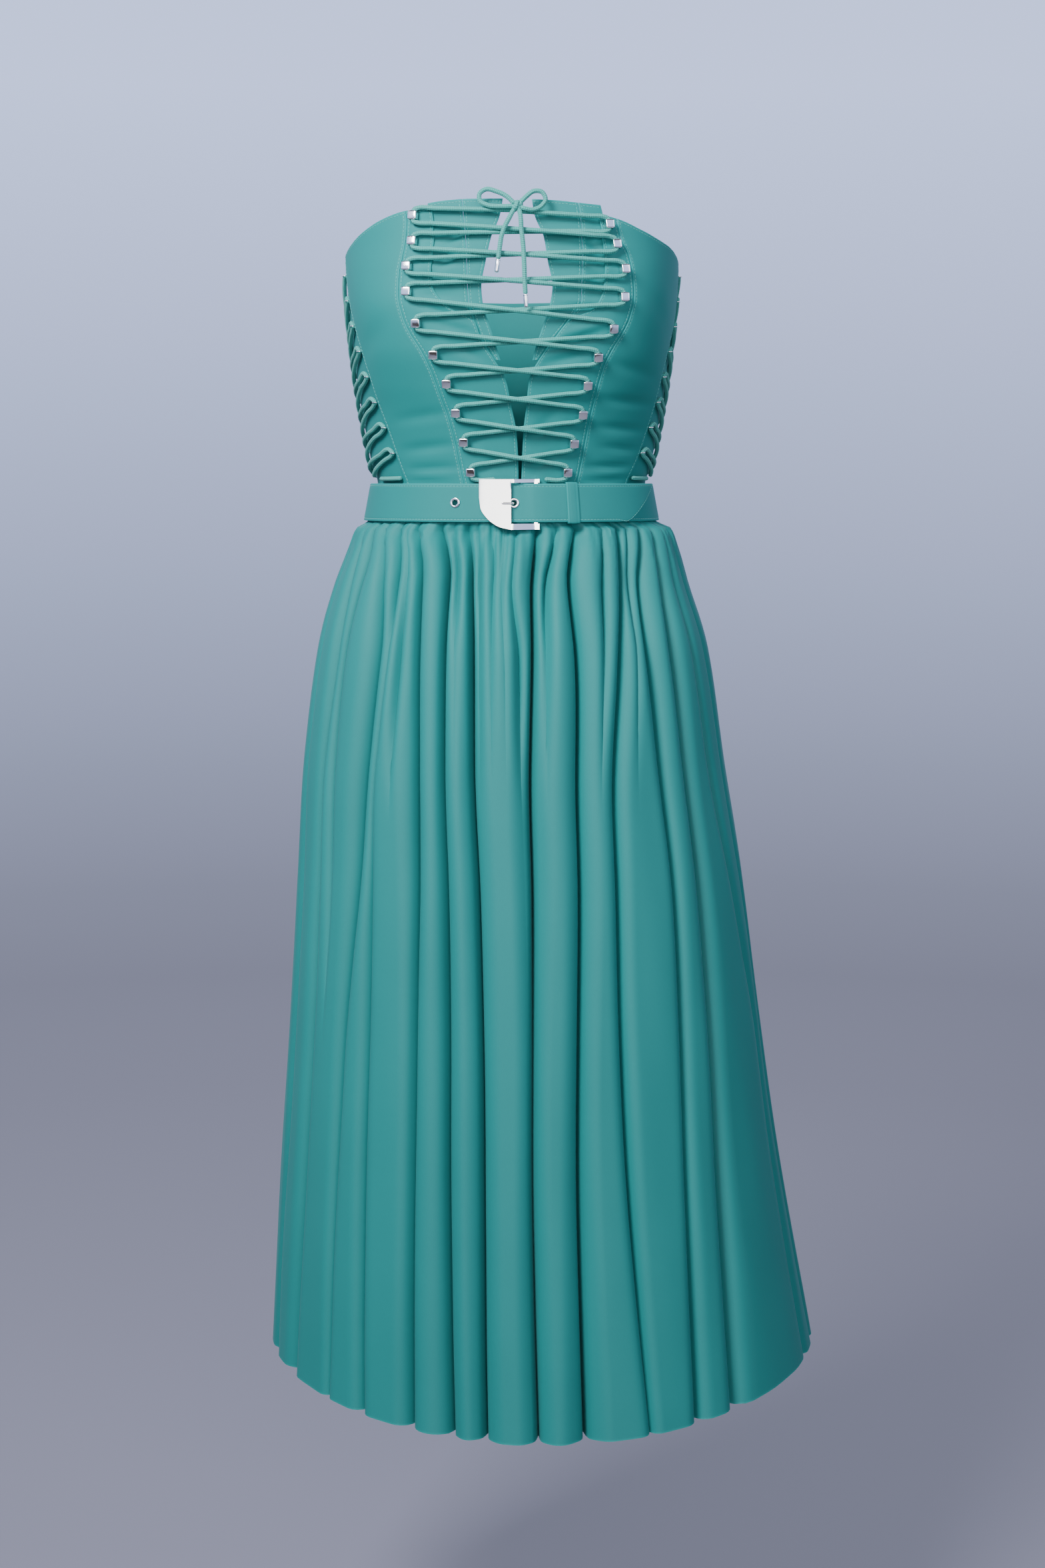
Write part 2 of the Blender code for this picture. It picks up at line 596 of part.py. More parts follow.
def span(start, end, rival_start, rival_end, on_top):
    """Cord between two studs, over the cloth, lifted where it crosses its partner."""
    steps = max(2, int(round(abs(end.x - start.x) / CORD_STEP)))
    share = np.linspace(0.0, 1.0, steps + 1)[1:-1]
    x = start.x + (end.x - start.x) * share
    z = start.z + (end.z - start.z) * share
    rival_z = np.interp(x, *zip(*sorted(((rival_start.x, rival_start.z), (rival_end.x, rival_end.z)))))
    apart = np.clip(np.abs(z - rival_z) / (1.9 * CORD_LIFT), 0, 1)
    lift = CORD_LIFT * 0.5 * (1 + np.cos(math.pi * apart)) if on_top else 0.0
    return [Vector(tuple(point)) for point in body_across(x, z, CORD_OUT + lift)]


def front_lace_points(first_side):
    """Zigzag half of the front lace: knot, first stud, then the other side's next stud and so on."""
    rows = len(STUDS)
    passes = {(row, side): stud_pass(row, side, True) for row in range(rows) for side in (-1, 1)}
    side = first_side
    entry = passes[(0, side)][0]
    knot_x = KNOT_PLACE[0] + side * 5.6 * MM
    knot_z = 0.2350 if side < 0 else 0.2338
    steps = 5
    share = np.linspace(0.0, 1.0, steps + 1)[:-1]
    x = knot_x + (entry.x - knot_x) * share
    z = knot_z + (entry.z - knot_z) * share
    out = CORD_OUT + 2.4 * MM * (1 - share) ** 2
    line = [Vector(tuple(point)) for point in body_across(x, z, out)]
    for row in range(rows):
        line += passes[(row, side)]
        if row == rows - 1:
            break
        leave, enter = passes[(row, side)][-1], passes[(row + 1, -side)][0]
        rival = passes[(row, -side)][-1], passes[(row + 1, side)][0]
        on_top = (row % 2 == 0) == (first_side < 0)
        line += span(leave, enter, *rival, on_top)
        side = -side
    foot_x = -13.0 * MM if side < 0 else 27.0 * MM
    line.append(Vector(tuple(body_across(np.array(foot_x), np.array(0.0240), CORD_OUT))))
    return line


def make_lacing():
    for row in range(len(STUDS)):
        make_stud(row, -1, "left")
        make_stud(row, 1, "right")
    add_tube("lace_front_a", front_lace_points(-1), CORD_RADIUS, "cord", 5)
    add_tube("lace_front_b", front_lace_points(1), CORD_RADIUS, "cord", 5)


def bow_line(table):
    across, up, out = (np.array(column) * MM for column in zip(*table))
    return body_across(across, up, out)


def make_bow():
    x, z = KNOT_PLACE
    centre = body_across(np.array(x), np.array(z), np.array(KNOT_OUT))
    shape = bmesh.new()
    bmesh.ops.create_icosphere(shape, subdivisions=2, radius=1.0)
    points = [centre + np.array([v.co.x * KNOT_RADII[0], v.co.y * KNOT_RADII[2], v.co.z * KNOT_RADII[1]])
              for v in shape.verts]
    faces = [tuple(v.index for v in face.verts) for face in shape.faces]
    shape.free()
    add_solid("bow_knot", points, faces, "cord", smooth_angle=80.0)
    add_tube("bow_loop_left", bow_line(BOW_LOOP_LEFT), CORD_RADIUS, "cord", 6)
    add_tube("bow_loop_right", bow_line(BOW_LOOP_RIGHT), CORD_RADIUS, "cord", 6)
    for label, table in (("left", BOW_TAIL_LEFT), ("right", BOW_TAIL_RIGHT)):
        line = bow_line(table)
        add_tube(f"bow_tail_{label}", line, CORD_RADIUS, "cord", 8)
        way = (line[-1] - line[-2]) / np.linalg.norm(line[-1] - line[-2])
        start = line[-1] + way * SEAM
        add_tube(f"aglet_{label}", [start, start + way * AGLET_LENGTH], AGLET_RADIUS, "metal", 12)


def side_turn(side, edge, height, way):
    """Cord's turn beside a panel edge: two level ends and the turn between them."""
    angle = seam_angle(edge, side, height)
    reach = np.array([SIDE_TURN_REACH, 2.6 * MM, SIDE_TURN_REACH])
    rise = np.array([SIDE_TURN_RISE, 0.0, -SIDE_TURN_RISE])
    return body(angle + way * np.degrees(reach / SIDE_RADIUS), height + rise, SIDE_CORD_OUT)


def side_span(side, start, end):
    """Cord over the gusset from one turn's end to the next, given as angle and height."""
    share = np.linspace(0.0, 1.0, 6)[1:-1]
    angle = start[0] + (end[0] - start[0]) * share
    height = start[1] + (end[1] - start[1]) * share
    return body(angle, height, SIDE_CORD_OUT)


def make_side_lace(side, label):
    """Zigzag over the side gap between the side front's edge and the back panel's edge."""
    line = []
    rise = SIDE_TURN_RISE
    reach = np.degrees(SIDE_TURN_REACH / SIDE_RADIUS)
    for row in range(SIDE_LACE_TURNS):
        front = SIDE_LACE_TOP - row * SIDE_LACE_SPACING
        back = front - SIDE_LACE_DROP
        front_angle = seam_angle(SIDE_FRONT_EDGE, side, front) + side * reach
        back_angle = seam_angle(BACK_EDGE, side, back) - side * reach
        turn = side_turn(side, SIDE_FRONT_EDGE, front, side)
        line += list(turn) if row else list(turn[1:])
        last = row == SIDE_LACE_TURNS - 1
        target = (back_angle, back + rise)
        if last:
            share = (front - rise - 0.0245) / (front - back - 2 * rise)
            target = (front_angle + (back_angle - front_angle) * share, 0.0245)
        line += list(side_span(side, (front_angle, front - rise), target))
        if last:
            line.append(body(*target, SIDE_CORD_OUT))
            break
        line += list(side_turn(side, BACK_EDGE, back, -side))
        following = front - SIDE_LACE_SPACING
        next_angle = seam_angle(SIDE_FRONT_EDGE, side, following) + side * reach
        line += list(side_span(side, (back_angle, back - rise), (next_angle, following + rise)))
    add_tube(f"lace_side_{label}", line, SIDE_CORD_RADIUS, "cord", 5)
    low = 0.0238
    edge = seam_angle(SIDE_FRONT_EDGE, side, low) + side * 2.0
    angles = edge + side * np.array([0.0, 6.0, 12.0, 18.0])
    add_tube(f"lace_side_end_{label}", body(angles, low - np.array([0, 0.5, 0.9, 1.2]) * MM, SIDE_CORD_OUT),
             SIDE_CORD_RADIUS, "cord", 6)


def belt_point(angle, share, out):
    """Point on the belt's flat cone: share runs from -1 at its lower edge to 1 at its upper edge."""
    middle = BELT_MIDDLE + tilt(angle)
    low = body(angle, middle - BELT_HALF_HEIGHT, out)
    high = body(angle, middle + BELT_HALF_HEIGHT, out)
    rise = (np.asarray(share, dtype=float)[..., None] + 1) / 2
    return low * (1 - rise) + high * rise


def cut_hole(item, centre, out_way, radius):
    """A round hole through a wall, left as a Boolean modifier's result."""
    shape = bmesh.new()
    bmesh.ops.create_cone(shape, cap_ends=True, segments=12, radius1=radius, radius2=radius, depth=8 * MM)
    mesh = bpy.data.meshes.new("cutter")
    shape.to_mesh(mesh)
    shape.free()
    cutter = bpy.data.objects.new("cutter", mesh)
    bpy.context.collection.objects.link(cutter)
    turned = Vector((0, 0, 1)).rotation_difference(out_way).to_matrix().to_4x4()
    cutter.matrix_world = Matrix.Translation(centre) @ turned
    modifier = item.modifiers.new("hole", "BOOLEAN")
    modifier.operation = "DIFFERENCE"
    modifier.object = cutter
    bpy.context.view_layer.update()
    done = bpy.data.meshes.new_from_object(item.evaluated_get(bpy.context.evaluated_depsgraph_get()))
    item.modifiers.clear()
    item.data = done
    bpy.data.objects.remove(cutter, do_unlink=True)


def make_belt():
    share = np.array([-1.0, 0.0, 1.0])[:, None]
    plain, over_bar = np.linspace(STRAP_START, 348, 39), np.linspace(351, 381, 13)
    round_body = np.concatenate([plain, over_bar, [389, 397, 404]])
    end = STRAP_TIP_LOW + (STRAP_TIP_HIGH - STRAP_TIP_LOW) * (share + 1) / 2
    tip = round_body[-1] + (end - round_body[-1]) * np.array([[0.25, 0.5, 0.75, 1.0]])
    angle = np.concatenate([np.broadcast_to(round_body, (3, len(round_body))), tip], axis=1)
    out = read(STRAP_LIFT, 1, angle) * MM
    strap = add_wall("belt_strap", belt_point(angle, share + 0 * angle, out + BELT_CLOTH),
                     belt_point(angle, share + 0 * angle, out), "cloth")
    for index, place in enumerate(EYELET_ANGLES):
        lift = read(STRAP_LIFT, 1, place + 360) * MM + BELT_CLOTH
        level = (EYELET_HEIGHT - BELT_MIDDLE - tilt(place)) / BELT_HALF_HEIGHT
        centre = Vector(tuple(belt_point(place, level, lift)))
        across = Vector(tuple(belt_point(place + 1, level, lift) - belt_point(place - 1, level, lift)))
        up = Vector(tuple(belt_point(place, level + 0.2, lift) - belt_point(place, level - 0.2, lift)))
        out_way = across.normalized().cross(up.normalized()).normalized()
        cut_hole(strap, centre, out_way, EYELET_INNER + 0.2 * MM)
        make_eyelet(index, centre, across.normalized(), up.normalized(), out_way)
    make_keeper()
    make_buckle()


def make_eyelet(index, centre, across, up, out_way):
    sides = 14
    crown = EYELET_OUTER - 0.7 * MM
    rings = ((EYELET_INNER, 0.35), (EYELET_OUTER, 0.35), (crown, 0.85), (EYELET_INNER, 0.85))
    points = []
    for radius, out in rings:
        for k in range(sides):
            turn = 2 * math.pi * k / sides
            level = radius * (math.cos(turn) * across + math.sin(turn) * up)
            points.append(centre + level + out_way * out * MM)
    faces = []
    for ring in range(4):
        for k in range(sides):
            a, b = ring * sides + k, ring * sides + (k + 1) % sides
            c, d = ((ring + 1) % 4) * sides + (k + 1) % sides, ((ring + 1) % 4) * sides + k
            faces.append((a, b, c, d))
    add_solid(f"belt_eyelet_{index + 1}", points, faces, "metal", smooth_angle=50.0)


def make_keeper():
    """Cloth loop round both layers of the belt."""
    angles = np.linspace(KEEPER_FROM, KEEPER_TO, 3)
    over = 1.0 + 0.4 * MM / BELT_HALF_HEIGHT
    wide = 1.0 + 1.5 * MM / BELT_HALF_HEIGHT
    inside = ((-over, 2.7), (over, 2.7), (over, 8.0), (-over, 8.0))
    outside = ((-wide, 1.9), (wide, 1.9), (wide, 9.0), (-wide, 9.0))
    loop_in = np.array([[belt_point(angle, level, out * MM) for level, out in inside] for angle in angles])
    loop_out = np.array([[belt_point(turn, level, out * MM) for level, out in outside] for turn in angles])
    count = len(angles)
    points = np.concatenate([loop_out.reshape(-1, 3), loop_in.reshape(-1, 3)])
    back = count * 4
    faces = []
    for k in range(4):
        n = (k + 1) % 4
        for row in range(count - 1):
            a, b, c, d = row * 4 + k, row * 4 + n, (row + 1) * 4 + n, (row + 1) * 4 + k
            faces.append((a, b, c, d))
            faces.append((back + d, back + c, back + b, back + a))
        for row in (0, count - 1):
            faces.append((row * 4 + k, row * 4 + n, back + row * 4 + n, back + row * 4 + k))
    add_solid("belt_keeper", points, faces, "cloth")


def buckle_grid(out_of):
    """Points of the buckle at its stations across and its four lines of height."""
    curve = [(x, low) for x, low in BUCKLE_CURVE]
    stations = curve + [(x, BUCKLE_LOW) for x in (9.0, *BUCKLE_BAR, BUCKLE_ARM_END)]
    x = np.array([station[0] for station in stations])
    low = np.array([station[1] for station in stations])
    first = (BUCKLE_WINDOW_LOW - BUCKLE_LOW) / (BUCKLE_TOP - BUCKLE_LOW)
    second = (BUCKLE_WINDOW_TOP - BUCKLE_LOW) / (BUCKLE_TOP - BUCKLE_LOW)
    shares = np.array([0.0, first, (first + second) / 2, second, 1.0])[:, None]
    height = low[None, :] + shares * (BUCKLE_TOP - low[None, :])
    x = np.broadcast_to(x[None, :], height.shape)
    slope = np.clip(x / BUCKLE_BAR[0], 0, 1)
    out = BUCKLE_OUT + (BAR_OUT - BUCKLE_OUT) * slope + out_of
    return front_of_belt(x * MM, height * MM, out * MM)


def front_of_belt(x, height, out):
    """Point out from the front of the belt's flat cone, carried on above and below the belt."""
    low = body_across(x, np.full(x.shape, BELT_MIDDLE + WAIST_TILT - BELT_HALF_HEIGHT), out)
    high = body_across(x, np.full(x.shape, BELT_MIDDLE + WAIST_TILT + BELT_HALF_HEIGHT), out)
    rise = (height - BELT_MIDDLE - WAIST_TILT + BELT_HALF_HEIGHT) / (2 * BELT_HALF_HEIGHT)
    depth = low[..., 1] * (1 - rise) + high[..., 1] * rise
    return np.stack([x, depth, height], axis=-1)


def make_buckle():
    plate_columns = len(BUCKLE_CURVE) - 1
    filled = np.ones((4, plate_columns + 4), dtype=bool)
    filled[1:3, plate_columns:] = False
    filled[1:3, plate_columns + 2] = True
    add_wall("buckle_frame", buckle_grid(BUCKLE_THICK), buckle_grid(0.0), "metal", filled)
    across = np.array([point[0] for point in PRONG_LINE]) * MM
    out = np.array([point[1] for point in PRONG_LINE]) * MM
    way = np.stack([np.gradient(across), np.gradient(out)], axis=-1)
    way /= np.linalg.norm(way, axis=-1, keepdims=True)
    faces_at = []
    for half in (PRONG_HALF_THICK * MM, -PRONG_HALF_THICK * MM):
        x, lift = across + way[:, 1] * half, out - way[:, 0] * half
        heights = [np.full(x.shape, EYELET_HEIGHT + way_up * PRONG_HALF_WIDTH * MM) for way_up in (-1, 1)]
        faces_at.append(np.stack([front_of_belt(x, height, lift) for height in heights]))
    add_wall("buckle_prong", faces_at[0], faces_at[1], "metal")


def fold_table():
    """Valley angles and depths all round: side seam, front folds, side seam, like folds at the back."""
    front = [np.array(row) for row in FRONT_FOLDS]
    seam = np.zeros(12)
    rows = [np.concatenate([np.full(6, -90.0), seam[6:]])] + front
    rows += [np.concatenate([np.full(6, 90.0), seam[6:]])]
    rows += [np.concatenate([row[:6] + 180.0, row[6:]]) for row in front if row[11] > 0]
    rows += [np.concatenate([np.full(6, 270.0), seam[6:]])]
    return np.array(rows)


def skirt_point(fold, level):
    """Point on the skirt's outer face; fold counts valleys from the left side seam, level is the height.

    The cloth stands out on the skirt's outline in round lobes. Near each valley it is drawn in, up to the
    valley's depth, on a curve that sharpens towards the valley's bottom.
    """
    fold, level = np.broadcast_arrays(np.asarray(fold, dtype=float), np.asarray(level, dtype=float))
    table = fold_table()
    heights = np.array(FOLD_HEIGHTS)
    at = np.clip(level, heights[-1], heights[0])
    angles_down = np.column_stack([heights, table[:, :6].T])
    depths_down = np.column_stack([heights, table[:, 6:].T])
    columns = np.stack([read(angles_down, k + 1, at) for k in range(len(table))])
    depths = np.stack([read(depths_down, k + 1, at) for k in range(len(table))])
    left = np.clip(np.floor(fold).astype(int), 0, len(table) - 2)
    share = fold - left
    pick = np.indices(fold.shape)
    angle_left, angle_right = columns[(left, *pick)], columns[(left + 1, *pick)]
    angle = angle_left * (1 - share) + angle_right * share
    turn = np.radians(angle)
    half_width, shift = read(SKIRT, 1, level), read(SKIRT, 2, level)
    depth = np.where(np.cos(turn) >= 0, read(SKIRT, 3, level), read(SKIRT, 4, level))
    radius = 0.5 * (half_width + depth)
    gathered = 0.12 + 0.88 * np.clip((-level - 0.0095) / 0.012, 0, 1) ** 1.5
    away = np.abs((angle[None] - columns + 180) % 360 - 180) * np.pi / 180 * radius[None]
    drawn = (depths * np.clip(1 - away / (FOLD_REACH + 0.9 * depths * MM), 0, 1) ** 2).sum(axis=0)
    swell = SWELL * (1 - np.clip(drawn / 4, 0, 1)) * np.clip((-level - 0.03) / 0.06, 0, 1)
    normal = np.stack([np.sin(turn) / half_width, -np.cos(turn) / depth], axis=-1)
    normal /= np.linalg.norm(normal, axis=-1, keepdims=True)
    move = (swell - 0.5 * SWELL - drawn * gathered * MM)[..., None]
    place = np.stack([shift + half_width * np.sin(turn), -depth * np.cos(turn)], axis=-1) + normal * move
    low = (level / SKIRT[0][0]) ** 2
    height = level + tilt(angle) * (1 - low)
    height -= HEM_DIP * np.clip(np.cos(turn), 0, 1) ** 2 * low
    height -= 4 * MM * np.clip(-np.cos(turn), 0, 1) * low
    return np.concatenate([place, height[..., None]], axis=-1)


def grid_normals(grid):
    across = np.gradient(grid, axis=1)
    down = np.gradient(grid, axis=0)
    normal = np.cross(down, across)
    return normal / np.linalg.norm(normal, axis=-1, keepdims=True)


def add_skirt_piece(name, first, last, levels):
    """A skirt piece between two of the valleys, a seam's gap in from each."""
    stations = [fold + step for fold in range(first, last) for step in FOLD_STEPS]
    folds = np.array(stations + [last], dtype=float)
    folds[0] += 0.004
    folds[-1] -= 0.004
    grid = skirt_point(folds[None, :], np.array(levels)[:, None])
    add_wall(name, grid, grid - grid_normals(grid) * SKIRT_CLOTH, "cloth")


def make_skirt():
    side = len(FRONT_FOLDS) + 1
    add_skirt_piece("skirt_front_left", 0, CENTRE_FOLD, SKIRT_LEVELS)
    add_skirt_piece("skirt_front_right", CENTRE_FOLD, side, SKIRT_LEVELS)
    add_skirt_piece("skirt_back", side, len(fold_table()) - 1, SKIRT_LEVELS)
    folds = CENTRE_FOLD + np.array([-0.85, -0.6, -0.4, -0.25])
    levels = np.array([-0.022, -0.036, -0.068, -0.120, PLACKET_END])
    grid = skirt_point(folds[None, :], levels[:, None])
    normal = grid_normals(grid)
    add_wall("skirt_placket", grid + normal * 2.2 * MM, grid + normal * 1.2 * MM, "cloth")


def main():
    clear_scene()
    for side, label in ((-1, "left"), (1, "right")):
        make_front(side, label)
        make_side(side, label)
        make_side_lace(side, label)
    make_back()
    make_skirt()
    make_belt()
    make_lacing()
    make_bow()
    total = 0
    for item in bpy.data.objects:
        item.data.calc_loop_triangles()
        total += len(item.data.loop_triangles)
    print("objects", len(bpy.data.objects), "triangles", total)


main()
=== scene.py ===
# %% [markdown]
# # A lace-up dress
# The real dress is sewn from a fine, closely woven cotton. Its bodice is cut in shaped panels that are laced
# over a keyhole gap at the front and over stretch gussets at both sides. A belt covers the waist seam, and
# the skirt is gathered onto it. The frame holds each sewn piece as a plain solid. Here every piece is made
# again as fine cloth, cord or metal, from the same tables of measurements, so that it lies where its solid is.

import json

import bpy
import numpy as np
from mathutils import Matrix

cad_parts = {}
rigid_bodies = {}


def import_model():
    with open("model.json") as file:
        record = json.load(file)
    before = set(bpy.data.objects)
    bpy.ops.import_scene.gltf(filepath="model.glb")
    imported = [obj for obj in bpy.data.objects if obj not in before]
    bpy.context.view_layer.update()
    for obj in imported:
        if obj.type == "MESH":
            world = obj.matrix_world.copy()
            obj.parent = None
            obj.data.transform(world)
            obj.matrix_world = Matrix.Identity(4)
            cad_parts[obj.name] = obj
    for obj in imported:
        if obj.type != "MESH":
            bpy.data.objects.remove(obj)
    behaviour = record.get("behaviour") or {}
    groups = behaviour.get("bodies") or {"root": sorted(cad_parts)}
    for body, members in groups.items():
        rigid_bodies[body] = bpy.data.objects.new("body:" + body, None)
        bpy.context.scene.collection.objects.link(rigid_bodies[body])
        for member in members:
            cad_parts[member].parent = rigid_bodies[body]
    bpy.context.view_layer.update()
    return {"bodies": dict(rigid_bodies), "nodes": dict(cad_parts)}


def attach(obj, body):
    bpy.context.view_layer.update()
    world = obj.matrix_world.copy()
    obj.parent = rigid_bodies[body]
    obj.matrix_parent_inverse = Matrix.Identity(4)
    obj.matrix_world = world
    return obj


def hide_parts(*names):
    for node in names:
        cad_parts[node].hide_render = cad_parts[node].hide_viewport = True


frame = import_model()
ROOT = next(iter(frame["bodies"]))
MM = 0.001
print(len(frame["nodes"]), "solids ride on", ROOT)

# %% [markdown]
# ## Camera and studio
# The dress is seen from a little above the waist with a long lens, which keeps the long skirt from
# stretching. A seamless bowl stands all round it, because a flat backdrop would end in a hard line when the
# view turns. Large soft lights give the broad highlights that show folds, and two cards that only reflections
# see give the polished metal something dark and something bright to mirror, as a product studio does.

# %% Camera
CAMERA_PLACE = (0.00918, -2.30, 0.10)
CAMERA_PITCH = 8.3

camera = bpy.data.objects.new("camera", bpy.data.cameras.new("camera"))
bpy.context.scene.collection.objects.link(camera)
camera.location = CAMERA_PLACE
camera.rotation_euler = (np.radians(90 - CAMERA_PITCH), 0, 0)
camera.data.sensor_fit = "VERTICAL"
camera.data.sensor_height = 36.0
camera.data.lens = 63.0
bpy.context.scene.camera = camera
print("camera", camera.data.lens, "mm")


# %% Lights
def aim(item, target):
    """Turn a lamp or card so that its local -Z points at a place."""
    way = np.array(target) - np.array(item.location)
    flat = np.hypot(way[0], way[1])
    item.rotation_euler = (np.arctan2(flat, -way[2]), 0, np.arctan2(-way[0], way[1]))


def soft_light(name, place, target, size, power, colour):
    """A soft rectangular lamp that no camera sees, turned towards a place."""
    lamp = bpy.data.lights.new(name, "AREA")
    lamp.shape = "RECTANGLE"
    lamp.size, lamp.size_y = size
    lamp.energy = power
    lamp.color = colour
    item = bpy.data.objects.new(name, lamp)
    item.location = place
    item.visible_camera = False
    bpy.context.scene.collection.objects.link(item)
    aim(item, target)
    return item


soft_light("key", (-0.85, -1.4, 1.25), (0, 0, 0), (0.7, 0.7), 56, (1.0, 0.99, 0.96))
soft_light("front", (0.5, -3.1, 0.5), (0, 0, -0.3), (1.2, 1.6), 24, (1.0, 1.0, 0.98))
soft_light("side", (2.4, -0.9, 1.2), (0, 0, 0), (1.0, 1.6), 10, (0.97, 0.99, 1.0))
soft_light("back", (-0.5, 2.7, 1.6), (0, 0, -0.2), (1.6, 1.6), 26, (0.97, 0.98, 1.0))

world = bpy.data.worlds.new("studio")
bpy.context.scene.world = world
world.use_nodes = True
world.node_tree.nodes["Background"].inputs["Color"].default_value = (0.76, 0.78, 0.84, 1.0)
world.node_tree.nodes["Background"].inputs["Strength"].default_value = 0.13

# %% [markdown]
# ## Node helpers
# Every finish below is a small graph of nodes on a Principled shader. Two helpers keep them short: one adds a
# node and sets or links its inputs, and one starts a finish. Values that are the same all over a surface are
# set on the shader itself, since a linked value may be lost when the model is exported.


# %% Finish helpers
def start_finish(name, colour, roughness, metallic=0.0, **sockets):
    """A new finish: one Principled shader with its even values set on its own sockets."""
    made = bpy.data.materials.new(name)
    made.use_nodes = True
    made.diffuse_color = colour
    shader = made.node_tree.nodes["Principled BSDF"]
    shader.inputs["Base Color"].default_value = colour
    shader.inputs["Roughness"].default_value = roughness
    shader.inputs["Metallic"].default_value = metallic
    for socket, value in sockets.items():
        shader.inputs[socket.replace("_", " ")].default_value = value
    return made, shader


def add_node(finish, kind, settings=(), **inputs):
    """Add one node; an input is a value, or another node's output that is linked to it."""
    tree = finish.node_tree
    made = tree.nodes.new(kind)
    for setting, value in dict(settings).items():
        setattr(made, setting, value)
    for key, value in inputs.items():
        socket = made.inputs[int(key[1:]) if key[1:].isdigit() else key.replace("_", " ")]
        if isinstance(value, bpy.types.NodeSocket):
            tree.links.new(value, socket)
        else:
            socket.default_value = value
    return made


def calculate(finish, operation, first, second=0.0):
    return add_node(finish, "ShaderNodeMath", {"operation": operation}, i0=first, i1=second).outputs[0]


def link(finish, output, socket):
    finish.node_tree.links.new(output, socket)


# %% Studio bowl
def grid_faces(rows, columns, closed=False):
    """Corner numbers of every cell of a grid of points; a closed grid joins its last column to its first."""
    row, column = np.indices((rows - 1, columns if closed else columns - 1))
    a = row * columns + column
    b = row * columns + (column + 1) % columns
    return np.stack([a, b, b + columns, a + columns], axis=-1).reshape(-1, 4)


def new_object(name, points, faces, finish, sharp_angle=50.0):
    """An object at the origin from arrays of points and four-cornered faces."""
    mesh = bpy.data.meshes.new(name)
    mesh.from_pydata(np.asarray(points, dtype=float).reshape(-1, 3).tolist(), [], faces.tolist())
    mesh.shade_smooth()
    mesh.set_sharp_from_angle(angle=np.radians(sharp_angle))
    mesh.materials.append(finish)
    item = bpy.data.objects.new(name, mesh)
    bpy.context.scene.collection.objects.link(item)
    return item


backdrop, shader = start_finish("backdrop", (0.249, 0.251, 0.367, 1.0), 0.95)
height = add_node(backdrop, "ShaderNodeSeparateXYZ",
                  Vector=add_node(backdrop, "ShaderNodeTexCoord").outputs["Object"]).outputs[2]
rise = add_node(backdrop, "ShaderNodeMapRange", Value=height, i1=-1.05, i2=0.75).outputs[0]
glow = add_node(backdrop, "ShaderNodeMix", {"data_type": "RGBA"}, i0=rise, i6=(0.085, 0.088, 0.110, 1.0),
                i7=(0.745, 0.908, 1.440, 1.0))
link(backdrop, glow.outputs[2], shader.inputs["Emission Color"])
shader.inputs["Emission Strength"].default_value = 1.0
across_floor = np.array([0.0005, 1.2, 2.2, 2.9, 3.3, 3.6, 3.8, 3.9, 3.95, 4.0, 4.0])
up_wall = np.array([-1.05, -1.05, -1.05, -1.02, -0.92, -0.72, -0.45, -0.1, 0.4, 1.4, 3.2])
turn = np.linspace(0, 2 * np.pi, 64, endpoint=False)
bowl_points = np.stack(
    [
        across_floor[:, None] * np.cos(turn),
        across_floor[:, None] * np.sin(turn),
        up_wall[:, None] + 0 * turn,
    ],
    axis=-1,
)
bowl = new_object("studio_bowl", bowl_points, grid_faces(len(up_wall), 64, True), backdrop)
# The wall's glow is seen but lights nothing, so that the folds keep their shadows.
bowl.visible_diffuse = False


def reflection_card(name, place, target, size, colour, strength):
    """A card that only mirrors see."""
    finish, shader = start_finish(name, colour, 1.0, Emission_Color=colour, Emission_Strength=strength)
    shader.inputs["Base Color"].default_value = (0, 0, 0, 1)
    half_wide, half_high = size[0] / 2, size[1] / 2
    corners = [(-half_wide, -half_high, 0), (half_wide, -half_high, 0), (half_wide, half_high, 0),
               (-half_wide, half_high, 0)]
    card = new_object(name, corners, np.array([[0, 1, 2, 3]]), finish)
    card.location = place
    aim(card, target)
    card.visible_camera = False
    card.visible_diffuse = False
    card.visible_transmission = False
    card.visible_shadow = False


reflection_card("dark_card", (0, -2.9, -1.0), (0, 0, 0), (5.0, 1.6), (0.10, 0.075, 0.07, 1.0), 0.5)
reflection_card("bright_card", (0, -2.9, 0.95), (0, 0, 0), (2.6, 1.5), (1.0, 1.0, 1.0, 1.0), 5.0)
print("studio bowl", len(bowl.data.polygons), "faces")

# %% [markdown]
# ## The cloth
# The fabric is a fine cotton with a soft sheen. A plain colour would look like plastic, so its threads run in
# the piece's own UV map, which is in metres along and across the cloth and keeps the weave one size however
# the piece curves. Broad noise varies the dye a little, fine noise stands for uneven yarn, and the worn
# attribute that each piece carries lightens folded edges, where a real garment rubs pale.


# %% Cloth finish
CLOTH_DEEP = (0.008, 0.245, 0.254, 1.0)
CLOTH_PALE = (0.011, 0.315, 0.326, 1.0)
CLOTH_WORN = (0.023, 0.450, 0.466, 1.0)


